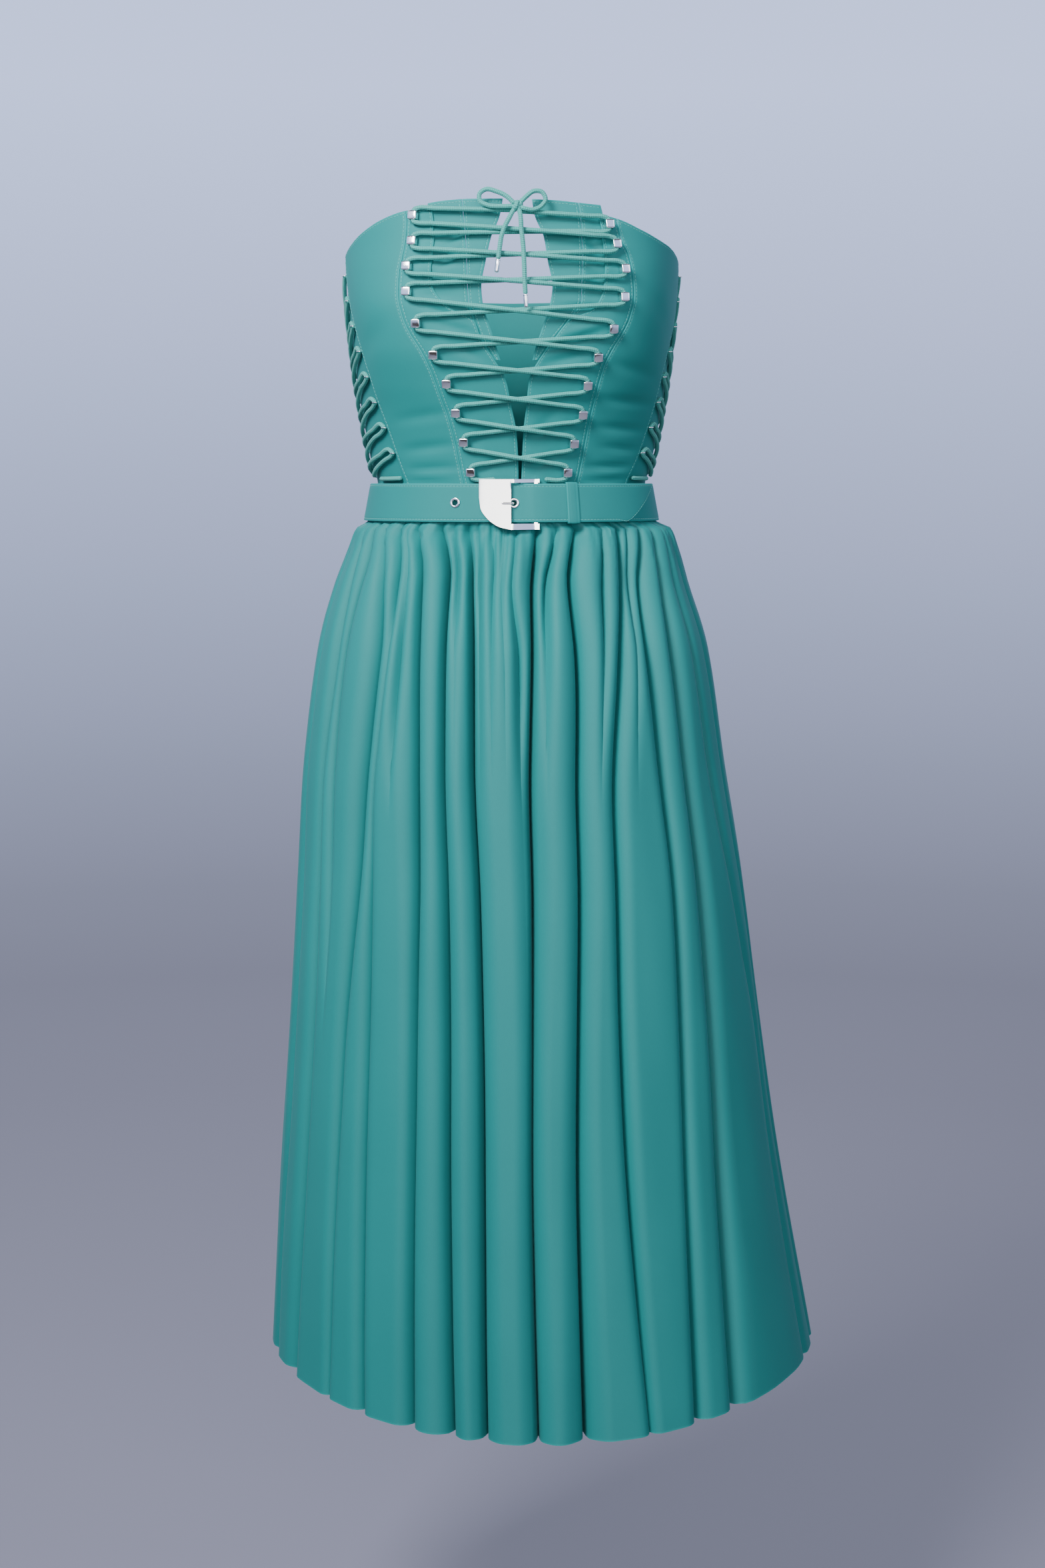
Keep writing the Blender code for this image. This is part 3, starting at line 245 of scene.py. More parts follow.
def cloth_finish(name):
    """Woven cloth: dye and yarn noise mixed, rubbed edges paler, and a twill of sine waves as bump."""
    finish, shader = start_finish(name, CLOTH_PALE, 0.62, Sheen_Weight=0.10, Sheen_Roughness=0.45,
                                  Sheen_Tint=(0.45, 0.85, 0.85, 1.0), Specular_IOR_Level=0.26)
    place = add_node(finish, "ShaderNodeTexCoord")
    thread = add_node(finish, "ShaderNodeUVMap", {"uv_map": "threads"}).outputs[0]
    dye = add_node(finish, "ShaderNodeTexNoise", Vector=place.outputs["Object"], Scale=11.0, Detail=3.0)
    stretched = add_node(finish, "ShaderNodeMapping", Vector=thread, Scale=(1700.0, 260.0, 1.0))
    yarn = add_node(finish, "ShaderNodeTexNoise", Vector=stretched.outputs[0], Scale=1.0, Detail=2.0)
    blend = calculate(finish, "MULTIPLY_ADD", yarn.outputs["Fac"], 0.45)
    blend.node.inputs[2].default_value = 0.0
    mixed = calculate(finish, "ADD", blend, calculate(finish, "MULTIPLY", dye.outputs["Fac"], 0.55))
    colour = add_node(finish, "ShaderNodeMix", {"data_type": "RGBA"}, i0=mixed, i6=CLOTH_DEEP, i7=CLOTH_PALE)
    worn = add_node(finish, "ShaderNodeAttribute", {"attribute_name": "worn"}).outputs["Fac"]
    edge = calculate(finish, "MULTIPLY", worn, 0.55)
    rubbed = add_node(finish, "ShaderNodeMix", {"data_type": "RGBA"}, i0=edge, i6=colour.outputs[2],
                      i7=CLOTH_WORN)
    link(finish, rubbed.outputs[2], shader.inputs["Base Color"])
    rough = calculate(finish, "MULTIPLY_ADD", yarn.outputs["Fac"], 0.16)
    rough.node.inputs[2].default_value = 0.54
    link(finish, rough, shader.inputs["Roughness"])
    part = add_node(finish, "ShaderNodeSeparateXYZ", Vector=thread)
    along = calculate(finish, "MULTIPLY", part.outputs[0], 2 * np.pi / (1.1 * MM))
    up = calculate(finish, "MULTIPLY", part.outputs[1], 2 * np.pi / (1.1 * MM))
    twill = calculate(finish, "SINE", calculate(finish, "ADD", along, up))
    height = calculate(finish, "ADD", calculate(finish, "MULTIPLY", twill, 0.25), yarn.outputs["Fac"])
    bump = add_node(finish, "ShaderNodeBump", Strength=0.35, Distance=0.05 * MM, Height=height)
    link(finish, bump.outputs[0], shader.inputs["Normal"])
    return finish


cloth = cloth_finish("cotton_cloth")
print("cloth nodes", len(cloth.node_tree.nodes))

# %% [markdown]
# ## The form under the bodice
# A fitted bodice follows a general figure. Its form is a table of level ellipses with a soft swelling for the
# bust, read on a smooth curve that never overshoots. Every bodice piece, stud and lace is a place on this
# form, given by an angle from the front, a height, and a distance out.

# %% Body form
# Body form under the bodice: height, half width, front depth, back depth, bust fullness (metres)
BODY = (
    (-0.016, 0.1190, 0.0890, 0.0830, 0.000),
    (0.000, 0.1155, 0.0866, 0.0803, 0.000),
    (0.018, 0.1125, 0.0850, 0.0785, 0.000),
    (0.030, 0.1162, 0.0860, 0.0790, 0.000),
    (0.048, 0.1200, 0.0880, 0.0800, 0.001),
    (0.075, 0.1245, 0.0925, 0.0825, 0.004),
    (0.100, 0.1283, 0.0970, 0.0855, 0.009),
    (0.130, 0.1316, 0.1010, 0.0890, 0.014),
    (0.160, 0.1345, 0.1020, 0.0920, 0.016),
    (0.190, 0.1362, 0.1010, 0.0935, 0.012),
    (0.215, 0.1362, 0.0985, 0.0930, 0.007),
    (0.250, 0.1330, 0.0940, 0.0910, 0.003),
)
BUST_ANGLE = 42.0
BUST_SPREAD = 24.0


def read(table, column, where):
    """One column of a table at the places asked for, on a smooth curve with no overshoot."""
    rows = np.array(table, dtype=float)
    rows = rows[np.argsort(rows[:, 0])]
    place, value = rows[:, 0], rows[:, column]
    secant = np.diff(value) / np.diff(place)
    before, after = secant[:-1], secant[1:]
    same_way = before * after > 0
    middle = np.where(same_way, 2 * before * after / np.where(same_way, before + after, 1.0), 0.0)
    slope = np.concatenate([secant[:1], middle, secant[-1:]])
    where = np.clip(np.asarray(where, dtype=float), place[0], place[-1])
    index = np.clip(np.searchsorted(place, where, side="right") - 1, 0, len(place) - 2)
    span = place[index + 1] - place[index]
    t = (where - place[index]) / span
    start = (2 * t**3 - 3 * t**2 + 1) * value[index] + (t**3 - 2 * t**2 + t) * span * slope[index]
    end = (3 * t**2 - 2 * t**3) * value[index + 1] + (t**3 - t**2) * span * slope[index + 1]
    return start + end


def body(angle, height, out):
    """Point on the body form at an angle and height, moved out along its level normal."""
    angle, height, out = np.broadcast_arrays(*(np.asarray(v, dtype=float) for v in (angle, height, out)))
    turn = np.radians(angle)
    across, toward = np.sin(turn), np.cos(turn)
    half_width = read(BODY, 1, height)
    depth = np.where(toward >= 0, read(BODY, 2, height), read(BODY, 3, height))
    from_front = np.abs(np.degrees(np.arctan2(across, toward)))
    bust = read(BODY, 4, height) * np.exp(-((from_front - BUST_ANGLE) / BUST_SPREAD) ** 2)
    normal = np.stack([across / half_width, -toward / depth], axis=-1)
    normal /= np.linalg.norm(normal, axis=-1, keepdims=True)
    reach = (out + bust)[..., None]
    level = np.stack([half_width * across, -depth * toward], axis=-1) + normal * reach
    return np.concatenate([level, height[..., None]], axis=-1)


def body_across(x, height, out):
    """Point on the front of the body form at a sideways place."""
    low = np.full(np.shape(x), -90.0)
    high = np.full(np.shape(x), 90.0)
    for _ in range(30):
        middle = (low + high) / 2
        left = body(middle, height, out)[..., 0] < x
        low = np.where(left, middle, low)
        high = np.where(left, high, middle)
    return body((low + high) / 2, height, out)


WAIST_TILT = 3.0 * MM


def tilt(angle):
    return WAIST_TILT * np.cos(np.radians(angle))


print("waist round", round(float(2 * np.pi * np.sqrt((0.1125**2 + 0.082**2) / 2)), 3), "m")

# %% [markdown]
# ## Cloth walls
# A sewn piece is a closed wall: an outer face, an inner face and a rounded rim. The faces are grids of points,
# so a whole piece is worked out with a few array sums. Lengths measured along the grid give the thread map,
# the place of each row of stitches, and the flat size that the piece was cut to.


# %% Wall helpers
def arc(grid, axis):
    """Length along the cloth from its first line of points, along one axis of the grid."""
    steps = np.linalg.norm(np.diff(grid, axis=axis), axis=-1)
    total = np.cumsum(steps, axis=axis)
    return np.insert(total, 0, 0.0, axis=axis)


def grid_normals(grid):
    """Unit normals of a grid from the cross product of its two ways."""
    normal = np.cross(np.gradient(grid, axis=0), np.gradient(grid, axis=1))
    return normal / np.linalg.norm(normal, axis=-1, keepdims=True)


def cell_area(grid):
    """Area of one face of the cloth: half the cross product of each cell's diagonals."""
    first = grid[1:, 1:] - grid[:-1, :-1]
    second = grid[1:, :-1] - grid[:-1, 1:]
    return 0.5 * np.linalg.norm(np.cross(first, second), axis=-1).sum()


def rim_order(rows, columns):
    """Point numbers round the border of a grid, and of the points just inside them."""
    index = np.arange(rows * columns).reshape(rows, columns)
    border = [index[0, :-1], index[:-1, -1], index[-1, :0:-1], index[:0:-1, 0]]
    inside = [index[1, :-1], index[:-1, -2], index[-2, :0:-1], index[:0:-1, 1]]
    return np.concatenate(border), np.concatenate(inside)


def add_wall(name, outer, inner, finish, worn=None, bulge=0.12 * MM, threads=None):
    """Closed cloth wall between two grids, its rim rounded by a middle line pushed out by the bulge."""
    rows, columns = outer.shape[:2]
    count = rows * columns
    border, inside = rim_order(rows, columns)
    flat_out, flat_in = outer.reshape(-1, 3), inner.reshape(-1, 3)
    way = flat_out[border] - flat_out[inside]
    way /= np.linalg.norm(way, axis=-1, keepdims=True)
    middle = (flat_out[border] + flat_in[border]) / 2 + way * bulge
    points = np.concatenate([flat_out, flat_in, middle])
    face = grid_faces(rows, columns)
    after = np.roll(border, -1)
    rim = 2 * count + np.arange(len(border))
    rim_after = np.roll(rim, -1)
    faces = np.concatenate([
        face,
        face[:, ::-1] + count,
        np.stack([after, border, rim, rim_after], axis=-1),
        np.stack([rim_after, rim, border + count, after + count], axis=-1),
    ])
    if (grid_normals(outer) * (outer - inner)).sum() > 0:
        faces = faces[:, ::-1]
    item = new_object(name, points, faces, finish)
    if threads is None:
        across = arc(outer, 1)
        threads = np.stack([across - across[:, -1:] / 2, arc(outer, 0)], axis=-1)
    flat = threads.reshape(-1, 2)
    paint(item, np.concatenate([flat, flat, flat[border]]), rub_marks(worn, count, border))
    return item


def rub_marks(worn, count, border):
    """Rubbing at each point: full on the rim, as given on the faces."""
    flat = np.zeros(count) if worn is None else np.asarray(worn, dtype=float).reshape(-1)
    return np.concatenate([flat, flat * 0.6, np.full(len(border), 1.0)])


def paint(item, threads, worn=None):
    """Give a mesh its thread map, and how rubbed each point is."""
    mesh = item.data
    corners = np.empty(len(mesh.loops), dtype=np.int32)
    mesh.loops.foreach_get("vertex_index", corners)
    layer = mesh.uv_layers.new(name="threads")
    layer.data.foreach_set("uv", threads[corners].astype(np.float32).ravel())
    if worn is not None:
        mark = mesh.attributes.new("worn", "FLOAT", "POINT")
        mark.data.foreach_set("value", worn.astype(np.float32))


def dress(piece, node):
    """The piece rides on the dress and stands for its solid, which is hidden."""
    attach(piece, ROOT)
    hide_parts(node)


def declare_cloth(grid):
    """Work out what the piece was cut to: its longest way across and along, and its flat area."""
    width, length = float(arc(grid, 1)[:, -1].max()), float(arc(grid, 0)[-1].max())
    area = min(float(cell_area(grid)), width * length)
    return width, length, area


# %% Sewn edges
CLOTH = 1.3 * MM
UNDERLAP_GAP = 0.6 * MM
SEAM = 0.3 * MM
STITCH_INSET = 2.2 * MM
EDGE_STATIONS = np.array([0.0, 0.25, 0.6, 1.0, 1.4, 1.8, 2.2, 2.6, 3.0, 3.8, 5.0]) * MM


def stations(length, spacing):
    """Places over a length as shares of it: close together near both ends, even between."""
    near = EDGE_STATIONS[EDGE_STATIONS < 0.4 * length]
    count = max(2, int(round((length - 2 * near[-1]) / spacing)))
    middle = np.linspace(near[-1], length - near[-1], count + 1)[1:-1]
    return np.concatenate([near, middle, length - near[::-1]]) / length


def rolled(distance):
    """Cloth turning under at its edge: a bell curve of the distance."""
    return -0.42 * MM * np.exp(-((distance / (0.55 * MM)) ** 2))


def pressed(distance, inset=STITCH_INSET):
    """Dent along a row of stitches: a bell curve about its inset."""
    return -0.20 * MM * np.exp(-(((distance - inset) / (0.5 * MM)) ** 2))


def pucker(along, distance):
    """Small waves along a seam, two sine waves that die out away from it."""
    wave = np.sin(along / (1.05 * MM)) + 0.6 * np.sin(along / (0.66 * MM) + 1.3)
    return 0.09 * MM * wave * np.exp(-distance / (3.5 * MM))


def line_inside(grid, distance, inset):
    """The line of points a set distance in from the first column."""
    rows = zip(distance, grid)
    return np.array([[np.interp(inset, far, row[:, k]) for k in range(3)] for far, row in rows])


stitch_lines = {"bodice": [], "skirt": [], "belt": []}


def stitch_edges(outer, edges, where, inset=STITCH_INSET):
    """Keep the stitch line of each named edge: first or last column, low or high row."""
    normal = grid_normals(outer)
    views = {
        "first": lambda grid: grid,
        "last": lambda grid: grid[:, ::-1],
        "low": lambda grid: grid.swapaxes(0, 1),
        "high": lambda grid: grid[::-1].swapaxes(0, 1),
    }
    for edge in edges:
        grid, out = views[edge](outer), views[edge](normal)
        far = arc(grid, 1)
        stitch_lines[where].append((line_inside(grid, far, inset), line_inside(out, far, inset)))


print("edge stations", len(EDGE_STATIONS))

# %% [markdown]
# ## Bodice panels
# Each panel is bounded by two curved seams, which are tables of angles by height, and by a top edge. The
# front is a stud panel that carries the lacing, with a gathered cup and a plain band behind its inner edge.
# Where the lace pulls, the cloth gathers into small fans of creases. Those are listed in a table of short
# strokes, since chance wrinkles never look sewn.

# %% Seam tables
# Seam angles by height: height, then left and right angle in degrees
PRINCESS_SEAM = (
    (-0.006, -18.5, 27.0),
    (0.024, -19.8, 27.9),
    (0.060, -22.0, 29.2),
    (0.090, -25.3, 30.6),
    (0.110, -27.6, 31.8),
    (0.126, -30.4, 34.2),
    (0.139, -33.5, 37.3),
    (0.152, -35.6, 39.6),
    (0.172, -37.1, 41.2),
    (0.186, -37.1, 41.0),
    (0.200, -36.4, 40.2),
    (0.213, -35.9, 38.0),
    (0.225, -36.0, 37.0),
    (0.240, -37.8, 37.3),
)
GAP_EDGE = (
    (-0.006, 3.1, 4.0),
    (0.026, 3.0, 4.1),
    (0.059, 2.2, 4.5),
    (0.083, 0.1, 5.5),
    (0.103, -1.8, 6.3),
    (0.122, -4.1, 7.8),
    (0.143, -6.8, 10.5),
    (0.163, -9.4, 13.1),
    (0.176, -9.8, 13.8),
    (0.195, -8.4, 12.3),
    (0.214, -6.6, 11.0),
    (0.232, -3.6, 7.9),
    (0.246, -2.6, 7.0),
)
BAND_SEAM = (
    (0.118, -5.4, 9.4),
    (0.134, -9.8, 14.2),
    (0.149, -12.1, 19.0),
    (0.165, -14.2, 23.3),
    (0.187, -14.6, 23.6),
    (0.205, -14.9, 24.0),
    (0.223, -15.6, 24.0),
    (0.246, -17.0, 23.0),
)
# The gathered line between the stud panel and the cup swings over to the band seam low down
GATHER_LINE = (
    (0.150, -12.6, 19.6),
    (0.160, -20.5, 27.6),
    (0.175, -25.4, 30.4),
    (0.187, -26.2, 31.0),
    (0.211, -25.8, 31.0),
    (0.246, -27.4, 29.2),
)
SIDE_FRONT_EDGE = (
    (-0.006, -48.0, 55.5),
    (0.022, -48.9, 56.6),
    (0.041, -51.0, 60.4),
    (0.062, -53.3, 63.6),
    (0.083, -56.0, 66.4),
    (0.103, -57.6, 67.6),
    (0.126, -61.2, 71.4),
    (0.143, -64.6, 77.0),
    (0.166, -71.0, 83.0),
    (0.187, -76.0, 85.0),
    (0.205, -80.0, 86.5),
)
BACK_EDGE = (
    (-0.006, -106.0, 111.0),
    (0.100, -102.0, 109.0),
    (0.150, -98.0, 107.0),
    (0.200, -94.0, 104.0),
)
# Top edge of the main panels: angle from the front, left height, right height
TOP_EDGE = (
    (25.0, 0.2382, 0.2352),
    (37.5, 0.2355, 0.2292),
    (47.0, 0.2298, 0.2216),
    (57.0, 0.2213, 0.2145),
    (68.0, 0.2119, 0.2085),
    (76.0, 0.2058, 0.2035),
    (84.0, 0.1985, 0.1985),
    (95.0, 0.1850, 0.1880),
    (106.0, 0.1750, 0.1760),
    (130.0, 0.1700, 0.1700),
    (180.0, 0.1680, 0.1680),
)
# Top edge of the cups and bands, which stand a little higher: angle, left height, right height
CUP_TOP = (
    (0.0, 0.2444, 0.2444),
    (14.0, 0.2443, 0.2434),
    (23.0, 0.2432, 0.2416),
    (31.0, 0.2406, 0.2400),
)
WAIST_SEAM = -9.2 * MM
CREASE_DEPTH = 1.6 * MM
CREASE_SPACING = 15.2 * MM
SEAM_RADIUS = 0.11
# Creases listed one by one: angle and height at each end, half width and depth in millimetres
STROKES = (
    (-18.0, 0.152, -31.0, 0.163, 2.6, -1.8),
    (-12.0, 0.138, -27.0, 0.150, 3.2, -1.6),
    (-9.0, 0.118, -22.0, 0.134, 3.4, -1.3),
    (-14.0, 0.222, -24.0, 0.206, 2.4, -2.2),
    (-17.0, 0.206, -25.0, 0.188, 2.4, -2.2),
    (13.0, 0.128, 32.0, 0.142, 3.0, -2.3),
    (16.0, 0.138, 33.0, 0.149, 2.2, 0.9),
    (11.0, 0.115, 28.0, 0.125, 3.2, -1.6),
    (17.0, 0.160, 34.0, 0.160, 2.4, -2.3),
    (25.0, 0.216, 31.5, 0.196, 2.2, -2.3),
    (24.0, 0.192, 31.0, 0.176, 2.2, -2.2),
    (30.0, 0.118, 60.0, 0.104, 5.0, -1.1),
    (31.0, 0.088, 62.0, 0.083, 4.0, -1.6),
    (30.0, 0.066, 60.0, 0.062, 3.6, -1.6),
    (36.0, 0.050, 58.0, 0.046, 3.0, -1.4),
    (29.0, 0.034, 55.0, 0.033, 2.8, -1.8),
    (30.0, 0.022, 54.0, 0.023, 2.4, -1.3),
    (-21.0, 0.078, -48.0, 0.070, 4.5, -1.1),
    (-21.0, 0.052, -47.0, 0.046, 4.0, -1.4),
    (-20.0, 0.034, -46.0, 0.031, 3.0, -1.4),
    (-25.0, 0.021, -46.0, 0.021, 2.4, -1.1),
    (-8.0, 0.070, -16.0, 0.050, 3.0, -1.3),
    (-5.0, 0.045, -13.0, 0.028, 2.6, -1.1),
    (8.0, 0.056, 16.0, 0.080, 3.2, -1.3),
    (9.0, 0.030, 17.0, 0.046, 2.8, -1.3),
    (40.0, 0.180, 60.0, 0.150, 9.0, -1.1),
    (-42.0, 0.150, -60.0, 0.120, 9.0, -1.1),
)


# %% Panel helpers
def seam_angle(table, side, height):
    return read(table, 1 if side < 0 else 2, height)


def top_height(table, side, angle):
    return read(table, 1 if side < 0 else 2, np.abs(angle))


def moved_seam(table, degrees):
    """A seam moved away from the front centre on both sides."""
    return tuple((row[0], row[1] - degrees, row[2] + degrees) for row in table)


def crease(side, angle, height):
    """Inward creases that fan from the gathered line and die out over the stud panel."""
    line = seam_angle(GATHER_LINE, side, height)
    near = np.exp(-np.clip(np.abs(angle - line) - 2.5, 0, None) / 4.5)
    rows = np.clip((height - 0.160) / 0.012, 0, 1) * np.clip((0.236 - height) / 0.01, 0, 1)
    wave = 0.5 - 0.5 * np.cos(2 * np.pi * (height - 0.160) / CREASE_SPACING)
    return -CREASE_DEPTH * near * rows * wave


def joined_inner_edge():
    """The stud panel's inner edge: gap edge low down, band seam above it, then the gathered line."""
    low = [row for row in GAP_EDGE if row[0] < BAND_SEAM[0][0]]
    middle = [row for row in BAND_SEAM if row[0] < GATHER_LINE[0][0]]
    return tuple(low + middle + list(GATHER_LINE))


def waist_line(angle):
    return WAIST_SEAM + tilt(angle)


def strokes(angle, height):
    """Sum of the listed creases: a bell curve of the way to each stroke's line, fading at its ends."""
    total = np.zeros(np.broadcast(angle, height).shape)
    place = np.stack(np.broadcast_arrays(np.radians(angle) * SEAM_RADIUS, height), axis=-1)
    for angle_from, height_from, angle_to, height_to, half_width, depth in STROKES:
        start = np.array([np.radians(angle_from) * SEAM_RADIUS, height_from])
        way = np.array([np.radians(angle_to) * SEAM_RADIUS, height_to]) - start
        share = np.clip(((place - start) @ way) / (way @ way), 0, 1)
        far = np.linalg.norm(place - start - share[..., None] * way, axis=-1)
        fading = 0.25 + 0.75 * np.sin(np.pi * share)
        total += depth * MM * np.exp(-((far / (half_width * MM)) ** 2)) * fading
    return total


def panel_places(side, first, second, top, bottom, across, share):
    """Angles and heights over a panel: blended between its two seams, its ends fitted to top and bottom."""
    share = share[:, None]
    edges = []
    for seam, inward in ((first, 1), (second, -1)):
        low = bottom(seam_angle(seam, side, 0.2))
        height = low + share * (top(seam_angle(seam, side, 0.2)) - low)
        for _ in range(8):
            angle = seam_angle(seam, side, height)
            low = bottom(angle)
            height = low + share * (top(angle) - low)
        edges.append((angle + side * inward * np.degrees(SEAM / 2 / SEAM_RADIUS), height))
    across = across[None, :]
    angle = edges[0][0] * (1 - across) + edges[1][0] * across
    height = edges[0][1] * (1 - across) + edges[1][1] * across
    height = height + share * (top(angle[-1]) - height[-1])[None, :]
    height = height + (1 - share) * (bottom(angle[0]) - height[0])[None, :]
    return angle, height


def sewn_relief(grid, edges):
    """Roll, stitch dent and puckers of the named edges, and how near each point is to one of them."""
    across, up = arc(grid, 1), arc(grid, 0)
    far = {"first": (across, up), "last": (across[:, -1:] - across, up), "low": (up, across),
           "high": (up[-1:] - up, across)}
    face, both, near = 0.0, 0.0, 0.0
    for edge in edges:
        distance, along = far[edge]
        face = face + rolled(distance) + pressed(distance)
        both = both + pucker(along, distance)
        near = np.maximum(near, np.exp(-((distance / (0.9 * MM)) ** 2)))
    return face, both, near


def make_panel(node, side, seams, top, bottom, size, out=CLOTH, edges=("first", "last", "high"), creased=True):
    """One bodice panel: its places, the form at them, creases on both faces, and sewn edges outside."""
    across, share = stations(size[0], 3.2 * MM), stations(size[1], 2.4 * MM)
    angle, height = panel_places(side, *seams, top, bottom, across, share)
    plain = body(angle, height, out)
    face, both, near = sewn_relief(plain, edges)
    moved = both + strokes(angle, height) + (crease(side, angle, height) if creased else 0.0)
    outer = body(angle, height, out + moved + face)
    inner = body(angle, height, out - CLOTH + moved)
    piece = add_wall(node + "_cloth", outer, inner, cloth, worn=near)
    dress(piece, node)
    stitch_edges(outer, edges, "bodice")
    measured = declare_cloth(plain)
    print(node, "cut", [round(value, 3) for value in measured])
    return piece


# %% Front panels
def make_front(side, label):
    """The four cut pieces of one side of the front: band, cup, stud panel and side front."""
    def cup_top(angle):
        return top_height(CUP_TOP, side, angle)

    def main_top(angle):
        return top_height(TOP_EDGE, side, angle)

    def band_foot(angle):
        return np.zeros(np.shape(angle)) + BAND_SEAM[0][0] + SEAM

    def cup_foot(angle):
        return np.zeros(np.shape(angle)) + GATHER_LINE[0][0] + SEAM

    under = moved_seam(GATHER_LINE, 2.0)
    stud_panel = f"stud_panel_{label}"
    make_panel(f"front_band_{label}", side, (GAP_EDGE, BAND_SEAM), cup_top, band_foot, (0.020, 0.125),
               -UNDERLAP_GAP)
    make_panel(f"front_cup_{label}", side, (BAND_SEAM, under), cup_top, cup_foot, (0.024, 0.092),
               -UNDERLAP_GAP, edges=("first", "high"))
    make_panel(stud_panel, side, (joined_inner_edge(), PRINCESS_SEAM), main_top, waist_line,
               (0.040, 0.245))
    make_panel(f"side_front_{label}", side, (PRINCESS_SEAM, SIDE_FRONT_EDGE), main_top, waist_line,
               (0.070, 0.225), creased=False)


for side, label in ((-1, "left"), (1, "right")):
    make_front(side, label)


# %% [markdown]
# ## Sides and back
# A gusset fills each side behind the lacing, and one wide panel makes the back. They are made as the front
# panels are. The gusset lies a little further in, so that its neighbours' edges lap over it.

# %% Gussets and back panel
GUSSET_DROP = 1.1 * MM


def make_gusset(side, label):
    def gusset_top(angle):
        return top_height(TOP_EDGE, side, angle) - 0.5 * MM

    seams = moved_seam(SIDE_FRONT_EDGE, -3.0), moved_seam(BACK_EDGE, 3.0)
    make_panel(f"side_gusset_{label}", side, seams, gusset_top, waist_line, (0.075, 0.195), -GUSSET_DROP,
               edges=("high",), creased=False)


def back_stroke(angle, height):
    """Slack across the small of the back: long level waves that fade upwards."""
    fade = np.exp(-(((height - 0.045) / 0.035) ** 2)) * np.exp(-(((angle - 180) / 50) ** 2))
    return -0.9 * MM * fade * (0.5 + 0.5 * np.cos(height / (3.0 * MM) + 0.02 * (angle - 180)))


def make_back():
    """The back panel, one wall between its side seams, with rolled edges and a pressed line at its centre."""
    share, across = stations(0.18, 2.4 * MM)[:, None], stations(0.23, 3.2 * MM)[None, :]
    height = WAIST_SEAM + share * (0.17 - WAIST_SEAM)
    first = seam_angle(BACK_EDGE, 1, height)
    last = 360.0 + seam_angle(BACK_EDGE, -1, height)
    angle = first * (1 - across) + last * across
    side_angle = np.where(angle > 180, 360 - angle, angle)
    top = np.where(angle > 180, read(TOP_EDGE, 1, side_angle), read(TOP_EDGE, 2, side_angle))
    height = waist_line(angle) + share * (top - waist_line(angle))
    plain = body(angle, height, CLOTH)
    face, both, near = sewn_relief(plain, ("first", "last", "high"))
    seam_far = np.abs(np.radians(angle - 180)) * SEAM_RADIUS
    face = face + rolled(seam_far) + pressed(seam_far, 1.6 * MM)
    moved = both + back_stroke(angle, height)
    outer = body(angle, height, CLOTH + moved + face)
    piece = add_wall("back_panel_cloth", outer, body(angle, height, moved), cloth, worn=near)
    dress(piece, "back_panel")
    stitch_edges(outer, ("first", "last", "high"), "bodice")
    print("back_panel cut", [round(value, 3) for value in declare_cloth(plain)])


for side, label in ((-1, "left"), (1, "right")):
    make_gusset(side, label)
make_back()

# %% [markdown]
# ## The skirt
# The skirt is cut wide and gathered to the waist, so it hangs in soft round lobes with deep valleys between
# them. Each valley is a row of a table, with its angle and depth at six heights. The cloth stands out on the
# skirt's outline, and near a valley it is drawn in on a curve that sharpens towards the bottom. Fine gathers
# fade out below the belt, and a narrow hem is turned up and stitched.

# %% Skirt tables
# Skirt outline: height, half width, sideways shift, front depth, back depth (metres)
SKIRT = (
    (-0.7160, 0.2316, 0.0262, 0.2180, 0.2140),
    (-0.6240, 0.2206, 0.0199, 0.2050, 0.2000),
    (-0.5170, 0.2077, 0.0141, 0.1900, 0.1840),
    (-0.4110, 0.1967, 0.0106, 0.1760, 0.1700),
    (-0.3070, 0.1860, 0.0069, 0.1620, 0.1550),
    (-0.2030, 0.1740, 0.0017, 0.1460, 0.1380),
    (-0.1190, 0.1617, 0.0011, 0.1300, 0.1220),
    (-0.0680, 0.1473, 0.0000, 0.1150, 0.1050),
    (-0.0350, 0.1364, 0.0017, 0.1020, 0.0940),
    (-0.0195, 0.1300, 0.0020, 0.0916, 0.0890),
    (-0.0145, 0.1203, 0.0005, 0.0903, 0.0843),
    (-0.0095, 0.1190, 0.0000, 0.0894, 0.0831),
)
